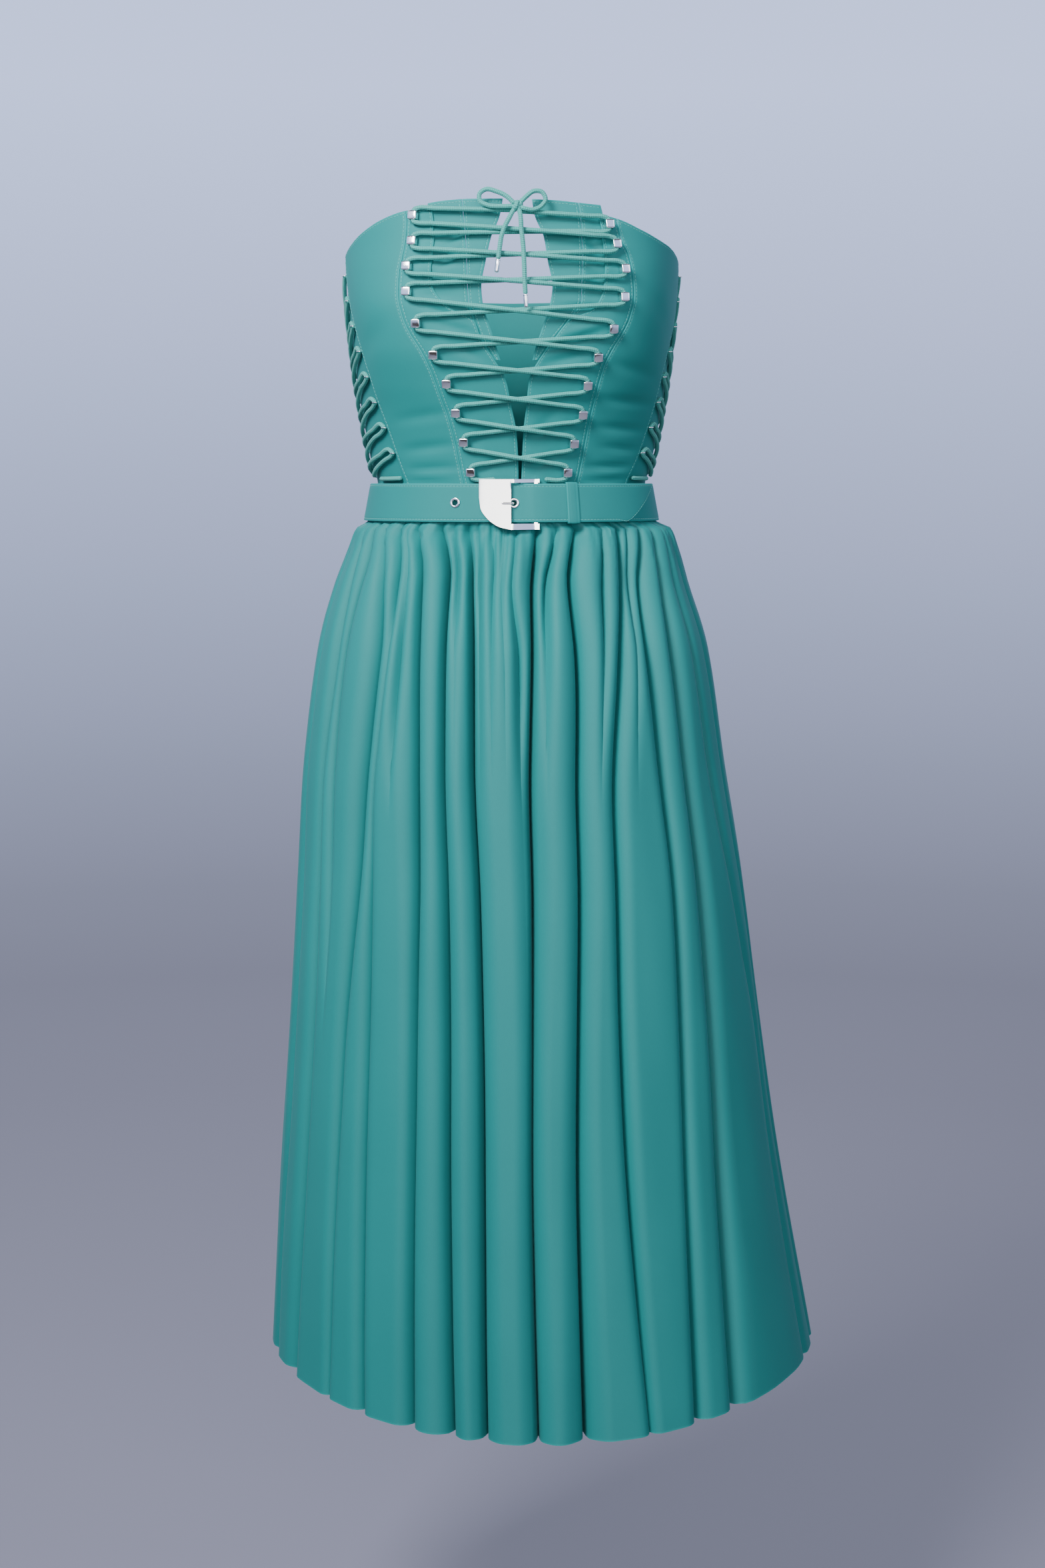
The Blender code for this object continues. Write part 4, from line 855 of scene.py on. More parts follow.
# Skirt folds at the front, left to right: valley angle at six heights, then its depth there in millimetres
FOLD_HEIGHTS = (-0.016, -0.06, -0.12, -0.25, -0.45, -0.72)
FRONT_FOLDS = (
    (-82.0, -80.0, -78.0, -77.0, -76.0, -77.0, 1.5, 3.0, 4.0, 5.0, 6.0, 7.0),
    (-72.0, -67.0, -65.0, -64.0, -63.0, -65.0, 2.0, 4.0, 4.0, 5.0, 7.0, 9.0),
    (-63.0, -60.0, -60.0, -57.5, -56.0, -57.0, 4.0, 8.0, 8.0, 5.0, 0.0, 0.0),
    (-56.0, -48.0, -44.0, -45.5, -49.0, -50.0, 3.0, 5.0, 9.0, 9.0, 5.0, 3.0),
    (-47.0, -41.5, -39.5, -40.8, -40.5, -40.0, 4.0, 7.0, 3.0, 4.0, 5.0, 6.0),
    (-42.5, -37.0, -35.5, -34.0, -33.5, -34.0, 1.0, 3.0, 5.0, 0.0, 0.0, 0.0),
    (-38.5, -32.0, -29.5, -27.0, -27.0, -28.0, 4.0, 9.0, 10.0, 9.0, 6.0, 8.0),
    (-28.0, -22.5, -21.0, -19.2, -18.5, -19.0, 5.0, 11.0, 10.0, 8.0, 8.0, 10.0),
    (-22.5, -18.5, -17.0, -15.5, -15.0, -16.0, 4.0, 5.0, 1.0, 0.0, 0.0, 0.0),
    (-17.0, -13.8, -12.2, -10.8, -10.2, -12.0, 5.0, 9.0, 11.0, 9.0, 9.0, 10.0),
    (-13.0, -10.5, -9.2, -8.0, -7.6, -9.6, 3.0, 5.0, 2.0, 0.0, 0.0, 0.0),
    (-8.2, -5.8, -5.8, -5.2, -5.0, -7.4, 3.0, 4.0, 2.0, 0.0, 0.0, 0.0),
    (-3.2, -3.0, -2.4, -1.8, -2.6, -5.2, 3.0, 3.0, 1.0, 0.0, 0.0, 0.0),
    (1.2, 0.2, 1.6, 1.4, -0.6, -3.2, 2.0, 3.0, 5.0, 0.0, 0.0, 0.0),
    (8.4, 7.0, 6.2, 4.2, 1.6, -1.2, 4.0, 11.0, 11.0, 11.0, 8.0, 10.0),
    (16.0, 12.2, 10.4, 8.8, 5.6, 2.6, 3.0, 7.0, 3.0, 0.0, 0.0, 0.0),
    (23.5, 20.0, 19.6, 17.0, 12.6, 8.6, 5.0, 10.0, 10.0, 9.0, 9.0, 13.0),
    (34.0, 31.5, 27.5, 22.5, 18.0, 15.0, 3.0, 5.0, 3.0, 0.0, 0.0, 0.0),
    (42.0, 39.5, 33.5, 27.0, 23.4, 22.0, 5.0, 8.0, 7.0, 6.0, 6.0, 4.0),
    (46.5, 43.6, 38.8, 33.5, 30.0, 27.0, 3.0, 5.0, 2.0, 0.0, 0.0, 0.0),
    (54.0, 48.5, 44.2, 43.7, 39.8, 33.0, 4.0, 8.0, 8.0, 6.0, 5.0, 7.0),
    (62.0, 58.5, 54.6, 53.7, 50.3, 43.0, 4.0, 5.0, 7.0, 7.0, 7.0, 9.0),
    (70.0, 67.0, 66.0, 68.0, 75.0, 74.0, 1.0, 2.0, 3.0, 5.0, 4.0, 3.0),
    (79.0, 78.0, 78.0, 79.0, 82.5, 84.0, 2.0, 3.0, 4.0, 4.0, 5.0, 6.0),
)
FOLD_REACH = 3.5 * MM
SWELL = 1.5 * MM
CENTRE_FOLD = 15
PLACKET_END = -0.172
HEM_DIP = 19.0 * MM
SKIRT_CLOTH = 1.2 * MM
HEM_WIDTH = 5.0 * MM
SLOT_REACH = 6.0 * MM
SLOT_CLOSING = 0.12
SLOT_DEPTH = 0.15
SLOT_HALF_WIDTH = 3.0 * MM
VALLEY_WIDTH = 1.3
VALLEY_DEPTH = 1.25


# %% Skirt surface
def fold_table():
    """Valley angles and depths all round: side seam, front folds, side seam, like folds at the back."""
    front = [np.array(row) for row in FRONT_FOLDS]
    seam = np.zeros(12)
    rows = [np.concatenate([np.full(6, -90.0), seam[6:]])] + front
    rows += [np.concatenate([np.full(6, 90.0), seam[6:]])]
    rows += [np.concatenate([row[:6] + 180.0, row[6:]]) for row in front if row[11] > 0]
    rows += [np.concatenate([np.full(6, 270.0), seam[6:]])]
    return np.array(rows)


def fine_gathers(angle, level):
    """Small pleats under the belt: sine waves of uneven pitch round the waist, fading as they go down."""
    turn = np.radians(angle)
    phase = 1.7 * np.sin(9 * turn + 0.4) + 1.1 * np.sin(17 * turn + 2.0)
    wave = np.sin(118 * turn + 2.2 * phase) + 0.6 * np.sin(73 * turn - 1.7 * phase + 0.8)
    length = 0.030 + 0.028 * (0.5 + 0.5 * np.sin(21 * turn + 1.0))
    start = np.clip((-level - 0.011) / 0.012, 0, 1)
    return 0.75 * MM * wave * start * np.exp(-(((-level - 0.011) / length) ** 2))


def slackness(angle, level):
    """Slow unevenness down the lobes, a few long sine waves that never line up."""
    turn, down = np.radians(angle), -level
    wave = np.sin(14 * turn + 21 * down) * np.sin(9 * down + 3 * turn) + 0.6 * np.sin(31 * turn - 13 * down)
    return 0.4 * MM * wave * np.clip((down - 0.05) / 0.2, 0, 1)


def drawn_together(to_valley, depths, level):
    """Cloth on a valley's flanks moved towards it: a hump at a few millimetres that closes the slot.

    The move grows with the valley's depth, and is nothing at the valley itself and far from it.
    """
    share = np.abs(to_valley) / SLOT_REACH
    hump = share**2 * np.exp(2 * (1 - share))
    fade = np.clip((-level - 0.02) / 0.03, 0, 1)
    return -(np.sign(to_valley) * SLOT_CLOSING * depths * MM * hump).sum(axis=0) * fade


def skirt_point(fold, level):
    """Point on the skirt's outer face; fold counts valleys from the left side seam, level is the height.

    The cloth stands out on the skirt's outline in round lobes. Near each valley it is drawn in, on a curve
    that sharpens towards the valley's bottom, where a narrow bell curve cuts a slot that grows with the
    square of the valley's depth. Fine gathers and slow waves lie over both.
    """
    fold, level = np.broadcast_arrays(np.asarray(fold, dtype=float), np.asarray(level, dtype=float))
    table = fold_table()
    heights = np.array(FOLD_HEIGHTS)
    at = np.clip(level, heights[-1], heights[0])
    angles_down = np.column_stack([heights, table[:, :6].T])
    depths_down = np.column_stack([heights, table[:, 6:].T])
    columns = np.stack([read(angles_down, k + 1, at) for k in range(len(table))])
    depths = np.stack([read(depths_down, k + 1, at) for k in range(len(table))])
    left = np.clip(np.floor(fold).astype(int), 0, len(table) - 2)
    share = fold - left
    pick = np.indices(fold.shape)
    angle_left, angle_right = columns[(left, *pick)], columns[(left + 1, *pick)]
    angle = angle_left * (1 - share) + angle_right * share
    turn = np.radians(angle)
    half_width, shift = read(SKIRT, 1, level), read(SKIRT, 2, level)
    depth = np.where(np.cos(turn) >= 0, read(SKIRT, 3, level), read(SKIRT, 4, level))
    radius = 0.5 * (half_width + depth)
    gathered = 0.12 + 0.88 * np.clip((-level - 0.0095) / 0.012, 0, 1) ** 1.5
    to_valley = ((angle[None] - columns + 180) % 360 - 180) * np.pi / 180 * radius[None]
    away = np.abs(to_valley)
    reach = VALLEY_WIDTH * FOLD_REACH + VALLEY_WIDTH * depths * MM
    drawn = VALLEY_DEPTH * (depths * np.clip(1 - away / reach, 0, 1) ** 2).sum(axis=0)
    swell = SWELL * (1 - np.clip(drawn / 4, 0, 1)) * np.clip((-level - 0.03) / 0.06, 0, 1)
    turn = turn + drawn_together(to_valley, depths, level) / radius
    normal = np.stack([np.sin(turn) / half_width, -np.cos(turn) / depth], axis=-1)
    normal /= np.linalg.norm(normal, axis=-1, keepdims=True)
    slot = (depths**2 * np.exp(-((away / SLOT_HALF_WIDTH) ** 2))).sum(axis=0) * SLOT_DEPTH
    move = swell - 0.5 * SWELL - (drawn + slot) * gathered * MM
    move = (move + fine_gathers(angle, level) + slackness(angle, level))[..., None]
    place = np.stack([shift + half_width * np.sin(turn), -depth * np.cos(turn)], axis=-1) + normal * move
    low = (level / SKIRT[0][0]) ** 2
    height = level + tilt(angle) * (1 - low)
    height -= HEM_DIP * np.clip(np.cos(turn), 0, 1) ** 2 * low
    height -= 4 * MM * np.clip(-np.cos(turn), 0, 1) * low
    return np.concatenate([place, height[..., None]], axis=-1)


def hem_relief(up_from_hem):
    """A turned-up hem stands proud by half a cloth, with a dent along its stitches and a rolled edge."""
    proud = 0.15 * MM * (1 - np.tanh((up_from_hem - HEM_WIDTH) / (0.5 * MM)))
    return proud + rolled(up_from_hem) + pressed(up_from_hem, HEM_WIDTH - 0.6 * MM)


print("folds", len(fold_table()))

# %% Skirt pieces
FOLD_SHARES = np.array([0.0, 0.04, 0.09, 0.15, 0.22, 0.30, 0.40, 0.50, 0.60, 0.70, 0.78, 0.85, 0.91, 0.96])
top_levels = np.array([-0.0095, -0.0110, -0.0125, -0.0145, -0.0165, -0.0195, -0.0225, -0.0260, -0.0300])
hem_rows = np.array([9.0, 7.0, 6.0, 5.4, 5.0, 4.7, 4.4, 4.1, 3.6, 2.8, 1.8, 1.0, 0.5, 0.2, 0.0])
low_levels = -0.716 + hem_rows * MM
SKIRT_LEVELS = np.concatenate([top_levels, np.linspace(-0.035, -0.70, 72), low_levels])


def make_skirt_piece(node, first, last):
    """One cut piece of the skirt, from one fold's number to another, with its turned-up hem."""
    folds = (np.arange(first, last)[:, None] + FOLD_SHARES[None, :]).ravel()
    folds = np.append(folds, last).astype(float)
    folds[0] += 0.004
    folds[-1] -= 0.004
    grid = skirt_point(folds[None, :], SKIRT_LEVELS[:, None])
    up_from_hem = arc(grid[::-1], 0)[::-1]
    normal = -grid_normals(grid)
    outer = grid + normal * hem_relief(up_from_hem)[..., None]
    inner = grid - normal * (SKIRT_CLOTH - 0.2 * rolled(up_from_hem)[..., None])
    near = np.exp(-((up_from_hem / (1.0 * MM)) ** 2))
    piece = add_wall(node + "_cloth", outer, inner, cloth, worn=near)
    dress(piece, node)
    stitch_edges(outer[-40:], ("high",), "skirt", HEM_WIDTH - 0.6 * MM)
    print(node, "cut", [round(value, 3) for value in declare_cloth(grid)],
          len(piece.data.polygons), "faces")
    return piece


side_fold = len(FRONT_FOLDS) + 1
make_skirt_piece("skirt_front_left", 0, CENTRE_FOLD)
make_skirt_piece("skirt_front_right", CENTRE_FOLD, side_fold)
make_skirt_piece("skirt_back", side_fold, len(fold_table()) - 1)

# %% [markdown]
# ## The placket
# A narrow flat strip covers the opening under the buckle. It is a small wall that lies just over the skirt,
# beside the centre seam, and is stitched along its edges.

# %% Placket
folds = CENTRE_FOLD + np.interp(stations(0.016, 1.6 * MM), (0, 1), (-0.85, -0.25))
levels = np.interp(stations(0.15, 2.6 * MM), (0, 1), (-0.022, PLACKET_END))
grid = skirt_point(folds[None, :], levels[:, None])
normal = -grid_normals(grid)
face, both, near = sewn_relief(grid, ("first", "last", "high"))
outer = grid + normal * (2.2 * MM + face)[..., None]
placket = add_wall("skirt_placket_cloth", outer, grid + normal * 1.2 * MM, cloth, worn=near)
dress(placket, "skirt_placket")
stitch_edges(outer, ("first", "high"), "skirt", 1.6 * MM)
print("placket cut", declare_cloth(grid))

# %% [markdown]
# ## The cord
# The laces are one round braided cord of about four millimetres. A braid is two sets of strands that wind in
# opposite ways, so its surface is the product of two crossing sine waves, in a map whose first number runs
# once round the cord and whose second is metres along it. Modelling each strand would take millions of
# faces for a texture that the bump of the finish shows as well.


# %% Cord finish
# Cord colours: the darker one is painted shade in the braid's hollows, the paler one the raised strands
CORD_HOLLOW_SHADE = (0.040, 0.320, 0.305, 1.0)
CORD_PALE = (0.120, 0.620, 0.590, 1.0)
STRANDS_ROUND = 6
BRAID_PITCH = 3.0 * MM


def cord_finish(name):
    """Braided cord: its strands follow the cord's own map round and along it, with painted shade in their
    hollows.
    """
    finish, shader = start_finish(name, CORD_PALE, 0.72, Sheen_Weight=0.30, Sheen_Roughness=0.5,
                                  Sheen_Tint=(0.55, 0.9, 0.88, 1.0), Specular_IOR_Level=0.25)
    thread = add_node(finish, "ShaderNodeUVMap", {"uv_map": "threads"}).outputs[0]
    part = add_node(finish, "ShaderNodeSeparateXYZ", Vector=thread)
    around = calculate(finish, "MULTIPLY", part.outputs[0], 2 * np.pi * STRANDS_ROUND / 2)
    along = calculate(finish, "MULTIPLY", part.outputs[1], 2 * np.pi / BRAID_PITCH)
    one = calculate(finish, "SINE", calculate(finish, "ADD", around, along))
    other = calculate(finish, "SINE", calculate(finish, "SUBTRACT", around, along))
    braid = calculate(finish, "MULTIPLY", one, other)
    place = add_node(finish, "ShaderNodeTexCoord").outputs["Object"]
    fuzz = add_node(finish, "ShaderNodeTexNoise", Vector=place, Scale=2600.0, Detail=2.0)
    height = calculate(finish, "ADD", braid, calculate(finish, "MULTIPLY", fuzz.outputs["Fac"], 0.7))
    bump = add_node(finish, "ShaderNodeBump", Strength=0.8, Distance=0.22 * MM, Height=height)
    link(finish, bump.outputs[0], shader.inputs["Normal"])
    # Colour follows the bump's height: paler on raised strands, darker in the braid's hollows as painted
    # shade; the fuzz adds random tone
    share = add_node(finish, "ShaderNodeMapRange", Value=height, i1=-0.9, i2=1.2)
    colour = add_node(finish, "ShaderNodeMix", {"data_type": "RGBA"}, i0=share.outputs[0], i6=CORD_HOLLOW_SHADE,
                      i7=CORD_PALE)
    link(finish, colour.outputs[2], shader.inputs["Base Color"])
    return finish


cord = cord_finish("braided_cord")
print("cord nodes", len(cord.node_tree.nodes))


# %% Cord helpers
def smooth_line(points, step=1.0 * MM):
    """Even points on a cubic curve through the given ones, its slopes taken from their neighbours."""
    points = np.asarray(points, dtype=float)
    place = arc(points[None], 1)[0]
    slope = np.gradient(points, place, axis=0)
    fine = np.linspace(0, place[-1], int(3 * place[-1] / step) + 2)
    index = np.clip(np.searchsorted(place, fine, side="right") - 1, 0, len(place) - 2)
    gap = (place[index + 1] - place[index])[:, None]
    t = (fine - place[index])[:, None] / gap
    curve = (2 * t**3 - 3 * t**2 + 1) * points[index] + (t**3 - 2 * t**2 + t) * gap * slope[index]
    curve += (3 * t**2 - 2 * t**3) * points[index + 1] + (t**3 - t**2) * gap * slope[index + 1]
    length = arc(curve[None], 1)[0]
    even = np.linspace(0, length[-1], int(round(length[-1] / step)) + 1)
    return np.column_stack([np.interp(even, length, curve[:, k]) for k in range(3)])


def cap_faces(sides, first):
    """Strips of four-cornered faces that close a ring of an even number of points."""
    low = np.arange(sides // 2 - 1)
    return first + np.stack([low, low + 1, sides - 2 - low, sides - 1 - low], axis=-1)


def tube(line, widths, highs=None, sides=12, closed=False, out_ways=None):
    """Points, faces and corner map of a tube: a ring of the given radii at each point of a line.

    The ring's two ways are the cross products of the line's direction with the way out of the body.
    """
    line = np.asarray(line, dtype=float)
    count = len(line)
    along = np.roll(line, -1, axis=0) - np.roll(line, 1, axis=0) if closed else np.gradient(line, axis=0)
    along /= np.linalg.norm(along, axis=-1, keepdims=True)
    out = line * (1, 1, 0) if out_ways is None else np.broadcast_to(out_ways, line.shape)
    side_way = np.cross(along, out)
    side_way /= np.linalg.norm(side_way, axis=-1, keepdims=True)
    out_way = np.cross(side_way, along)
    turn = np.linspace(0, 2 * np.pi, sides, endpoint=False)
    wide = np.broadcast_to(widths, count)[:, None, None]
    high = wide if highs is None else np.broadcast_to(highs, count)[:, None, None]
    sideways = wide * np.cos(turn)[None, :, None] * side_way[:, None]
    ring = sideways + high * np.sin(turn)[None, :, None] * out_way[:, None]
    points = line[:, None] + ring
    faces = grid_faces(count + 1 if closed else count, sides, True) % (count * sides)
    column = faces % sides
    column = column + sides * ((column[:, :1] == sides - 1) & (column == 0))
    length = np.append(arc(line[None], 1)[0], arc(line[None], 1)[0][-1] + 1.0 * MM)
    row = np.arange(len(faces)) // sides
    rows = np.stack([row, row, row + 1, row + 1], axis=-1)
    corners = np.stack([column / sides, length[rows]], axis=-1)
    if not closed:
        caps = np.concatenate([cap_faces(sides, 0), cap_faces(sides, (count - 1) * sides)[:, ::-1]])
        faces = np.concatenate([faces, caps])
        corners = np.concatenate([corners, np.zeros((len(caps), 4, 2))])
    return points.reshape(-1, 3), faces, corners


def join_parts(parts):
    """Several tubes as one set of points, faces and corner maps."""
    starts = np.cumsum([0] + [len(part[0]) for part in parts[:-1]])
    points = np.concatenate([part[0] for part in parts])
    faces = np.concatenate([part[1] + start for part, start in zip(parts, starts)])
    return points, faces, np.concatenate([part[2] for part in parts])


def volume(points, faces):
    """Signed volume inside a closed mesh: positive where its faces point outwards."""
    corner = points[faces]
    cross = np.cross(corner[:, 1] - corner[:, 0], corner[:, 2] - corner[:, 0])
    cross += np.cross(corner[:, 2] - corner[:, 0], corner[:, 3] - corner[:, 0])
    return (corner[:, 0] * cross).sum() / 6


def add_tube(name, parts, finish, sharp_angle=60.0):
    points, faces, corners = join_parts(parts)
    if volume(points - points.mean(axis=0), faces) < 0:
        faces, corners = faces[:, ::-1], corners[:, ::-1]
    item = new_object(name, points, faces, finish, sharp_angle)
    layer = item.data.uv_layers.new(name="threads")
    layer.data.foreach_set("uv", corners.astype(np.float32).ravel())
    return item


def ends_in(count, taper=0.55):
    """Radius shares along a cord whose two ends are drawn in a little."""
    share = np.ones(count)
    share[[0, -1]] = taper
    return share


# %% [markdown]
# ## The lacing studs
# Each stud is a polished square bridge with a tunnel for the lace. Its section is a superellipse, a squared
# circle, which has flat faces and soft corners. The section is carried from end to end, rounded in at both,
# and back through the tunnel, so that one closed grid makes the whole stud.


# %% Metal finish
def metal_finish(name, colour, roughness):
    """Polished metal: cloudy noise varies its gloss, and drawn-out noise gives faint brushed marks."""
    finish, shader = start_finish(name, colour, roughness, 1.0)
    place = add_node(finish, "ShaderNodeTexCoord").outputs["Object"]
    brushed = add_node(finish, "ShaderNodeMapping", Vector=place, Scale=(900.0, 900.0, 5200.0))
    marks = add_node(finish, "ShaderNodeTexNoise", Vector=brushed.outputs[0], Scale=1.0, Detail=3.0)
    cloudy = add_node(finish, "ShaderNodeTexNoise", Vector=place, Scale=160.0, Detail=2.0)
    rough = calculate(finish, "MULTIPLY_ADD", cloudy.outputs["Fac"], 0.10)
    rough.node.inputs[2].default_value = roughness - 0.05
    link(finish, rough, shader.inputs["Roughness"])
    bump = add_node(finish, "ShaderNodeBump", Strength=0.04, Distance=0.05 * MM, Height=marks.outputs["Fac"])
    link(finish, bump.outputs[0], shader.inputs["Normal"])
    return finish


steel = metal_finish("polished_steel", (0.86, 0.85, 0.84, 1.0), 0.12)
print("steel nodes", len(steel.node_tree.nodes))

# %% Studs
# Lacing studs: left angle, left height, right angle, right height, top row first
STUDS = (
    (-33.1, 0.2310, 32.9, 0.2241),
    (-32.7, 0.2109, 35.0, 0.2084),
    (-33.9, 0.1914, 37.2, 0.1892),
    (-33.6, 0.1718, 36.5, 0.1676),
    (-30.9, 0.1477, 33.4, 0.1434),
    (-26.0, 0.1234, 29.2, 0.1215),
    (-22.3, 0.1009, 26.6, 0.0996),
    (-19.8, 0.0779, 26.0, 0.0765),
    (-17.6, 0.0544, 23.7, 0.0532),
    (-15.6, 0.0301, 22.1, 0.0299),
)
STUD_SIZE = 7.4 * MM
STUD_HEIGHT = 7.0 * MM
STUD_DEPTH = 6.2 * MM
TUNNEL_WIDTH = 5.2 * MM
TUNNEL_DEPTH = 4.6 * MM
STUD_FLOOR = 0.8 * MM
STUD_ROUND = 1.0 * MM


def unit(way):
    return way / np.linalg.norm(way)


def stud_frame(row, side):
    """Middle of a stud's seat with its across, up and out ways; across points to the front centre."""
    angle, height = STUDS[row][:2] if side < 0 else STUDS[row][2:]
    seat = body(angle, height, CLOTH + SEAM)
    across = unit(body(angle + 1, height, CLOTH) - body(angle - 1, height, CLOTH))
    up = unit(body(angle, height + 0.003, CLOTH) - body(angle, height - 0.003, CLOTH))
    out = unit(np.cross(across, up))
    return seat, across * -side, np.cross(out, across), out


def squared_ring(half_across, half_out, middle_out, power, sides=40):
    """Superellipse: cosine and sine raised to a small power, their signs kept."""
    turn = np.linspace(0, 2 * np.pi, sides, endpoint=False) + np.pi / sides
    across = half_across * np.sign(np.cos(turn)) * np.abs(np.cos(turn)) ** (2 / power)
    out = middle_out + half_out * np.sign(np.sin(turn)) * np.abs(np.sin(turn)) ** (2 / power)
    return across, out


def make_stud(row, side, label):
    """A square metal bead: rings of rounded squares up its outside and back down the tunnel for the lace."""
    seat, across_way, up_way, out_way = stud_frame(row, side)
    quarter = np.radians(np.array([0, 20, 45, 70, 90]))
    shrink = STUD_ROUND * (1 - np.sin(quarter))
    up = -STUD_HEIGHT / 2 + STUD_ROUND * (1 - np.cos(quarter))
    rings = [squared_ring(STUD_SIZE / 2 - s, STUD_DEPTH / 2 - s, STUD_DEPTH / 2, 7) for s in shrink]
    rings = [(*ring, height) for ring, height in zip(rings, up)]
    rings += [(across, out, -height) for across, out, height in rings[::-1]]
    tunnel_out = STUD_FLOOR + TUNNEL_DEPTH / 2
    for flare, height in ((0.25, 1.0), (0.0, 0.9), (0.0, -0.9), (0.25, -1.0)):
        ring = squared_ring(TUNNEL_WIDTH / 2 + flare * MM, TUNNEL_DEPTH / 2 + flare * MM, tunnel_out, 4)
        rings.append((*ring, height * STUD_HEIGHT / 2))
    grid = np.array([
        seat + across[:, None] * across_way + out[:, None] * out_way + height * up_way
        for across, out, height in rings
    ])
    rows, columns = grid.shape[:2]
    faces = grid_faces(rows + 1, columns, True) % (rows * columns)
    points = grid.reshape(-1, 3)
    if volume(points - seat, faces) < 0:
        faces = faces[:, ::-1]
    stud = new_object(f"stud_{label}_{row + 1:02d}_metal", points, faces, steel, 70.0)
    dress(stud, f"stud_{label}_{row + 1:02d}")
    return stud


for row in range(len(STUDS)):
    make_stud(row, -1, "left")
    stud = make_stud(row, 1, "right")
print("studs", 2 * len(STUDS), "of", len(stud.data.polygons), "faces")

# %% [markdown]
# ## The front lacing
# Two halves of one cord start at the knot, pass down through a stud, cross the front and pass through the
# next stud on the other side. Between studs the cord lies over the cloth, and one half humps over the other
# where they cross. The line is a smooth curve through the same points as the solid's.

# %% Front lace
CORD_RADIUS = 1.85 * MM
CORD_OUT = CLOTH + 0.7 * MM + CORD_RADIUS
CORD_LIFT = 4.5 * MM
CORD_STEP = 13.0 * MM
# Cord route beside a stud's middle: towards the front centre, up or down from it
STUD_TURN = ((0.0, 3.2 * MM), (1.2 * MM, 5.0 * MM), (3.4 * MM, 5.75 * MM))
KNOT_PLACE = (4.6 * MM, 238.0 * MM)


def stud_pass(row, side):
    """Cord points through a stud, from above it to below."""
    seat, across_way, up_way, out_way = stud_frame(row, side)
    places = [(across, up) for across, up in STUD_TURN[::-1]] + [(across, -up) for across, up in STUD_TURN]
    middle = STUD_FLOOR + TUNNEL_DEPTH / 2
    return [seat + across * across_way + up * up_way + middle * out_way for across, up in places]


def span(start, end, rival_start, rival_end, on_top):
    """Cord between two studs, over the cloth, lifted on a cosine where it crosses its partner."""
    steps = max(2, int(round(abs(end[0] - start[0]) / CORD_STEP)))
    share = np.linspace(0.0, 1.0, steps + 1)[1:-1]
    x = start[0] + (end[0] - start[0]) * share
    z = start[2] + (end[2] - start[2]) * share
    low, high = sorted([(rival_start[0], rival_start[2]), (rival_end[0], rival_end[2])])
    rival_z = np.interp(x, (low[0], high[0]), (low[1], high[1]))
    apart = np.clip(np.abs(z - rival_z) / (1.9 * CORD_LIFT), 0, 1)
    lift = CORD_LIFT * 0.5 * (1 + np.cos(np.pi * apart)) if on_top else 0.0
    return list(body_across(x, z, CORD_OUT + lift))


def front_lace_points(first_side):
    """Half of the front lace: from the knot to the first stud, then from side to side down the front."""
    passes = {(row, side): stud_pass(row, side) for row in range(len(STUDS)) for side in (-1, 1)}
    side = first_side
    entry = passes[(0, side)][0]
    share = np.linspace(0.0, 1.0, 6)[:-1]
    knot_x = KNOT_PLACE[0] + side * 5.6 * MM
    knot_z = 0.2350 if side < 0 else 0.2338
    x, z = knot_x + (entry[0] - knot_x) * share, knot_z + (entry[2] - knot_z) * share
    line = [body_across(np.array(KNOT_PLACE[0] + side * 2.0 * MM), np.array(knot_z), CORD_OUT + 3.0 * MM)]
    line += list(body_across(x, z, CORD_OUT + 2.4 * MM * (1 - share) ** 2))
    for row in range(len(STUDS) - 1):
        line += passes[(row, side)]
        leave, enter = passes[(row, side)][-1], passes[(row + 1, -side)][0]
        rival = passes[(row, -side)][-1], passes[(row + 1, side)][0]
        line += span(leave, enter, *rival, (row % 2 == 0) == (first_side < 0))
        side = -side
    line += passes[(len(STUDS) - 1, side)]
    foot_x = -13.0 * MM if side < 0 else 27.0 * MM
    line.append(body_across(np.array(foot_x), np.array(0.0240), CORD_OUT))
    return line


for first_side, label in ((-1, "a"), (1, "b")):
    line = smooth_line(front_lace_points(first_side))
    lace = add_tube(f"lace_front_{label}_cord", [tube(line, CORD_RADIUS * ends_in(len(line)))], cord)
    dress(lace, f"lace_front_{label}")
    lace_length = float(arc(line[None], 1)[0, -1])
    print("front lace", label, round(lace_length, 3), "m,", len(lace.data.polygons), "faces")

# %% [markdown]
# ## The bow
# The lace's two ends are tied in a bow at the top. Each loop and tail follows a short table of places over the
# form, and two turns of cord round a small core make the knot. The tails hang free, and each ends in a
# polished metal tip.

# %% Bow
# Bow cords in millimetres: across, up, out from the form
BOW_LOOP_LEFT = (
    (0.9, 241.7, 9.6), (-2.6, 245.0, 9.4), (-11.8, 249.5, 9.0), (-19.6, 251.0, 8.6), (-24.6, 247.4, 8.4),
    (-24.0, 241.6, 8.4), (-18.0, 238.6, 8.8), (-7.1, 237.6, 10.2), (-0.9, 237.7, 10.8),
)
BOW_LOOP_RIGHT = (
    (8.3, 241.7, 9.6), (11.8, 245.0, 9.4), (18.0, 249.5, 9.2), (24.3, 249.0, 8.8), (27.3, 243.5, 8.6),
    (23.3, 237.4, 8.8), (16.5, 235.0, 9.6), (9.9, 236.2, 10.8),
)
BOW_TAIL_LEFT = (
    (1.8, 234.2, 11.1), (-1.3, 228.4, 12.8), (-4.4, 222.6, 13.0), (-7.2, 214.8, 13.0), (-8.7, 205.7, 13.0),
    (-9.9, 196.7, 13.0),
)
BOW_TAIL_RIGHT = (
    (6.8, 233.9, 11.3), (7.8, 228.0, 13.0), (8.2, 221.0, 13.0), (9.7, 207.2, 13.0), (10.5, 192.3, 13.0),
    (10.9, 180.0, 13.0), (11.5, 169.6, 13.0),
)
KNOT_OUT = 9.5 * MM


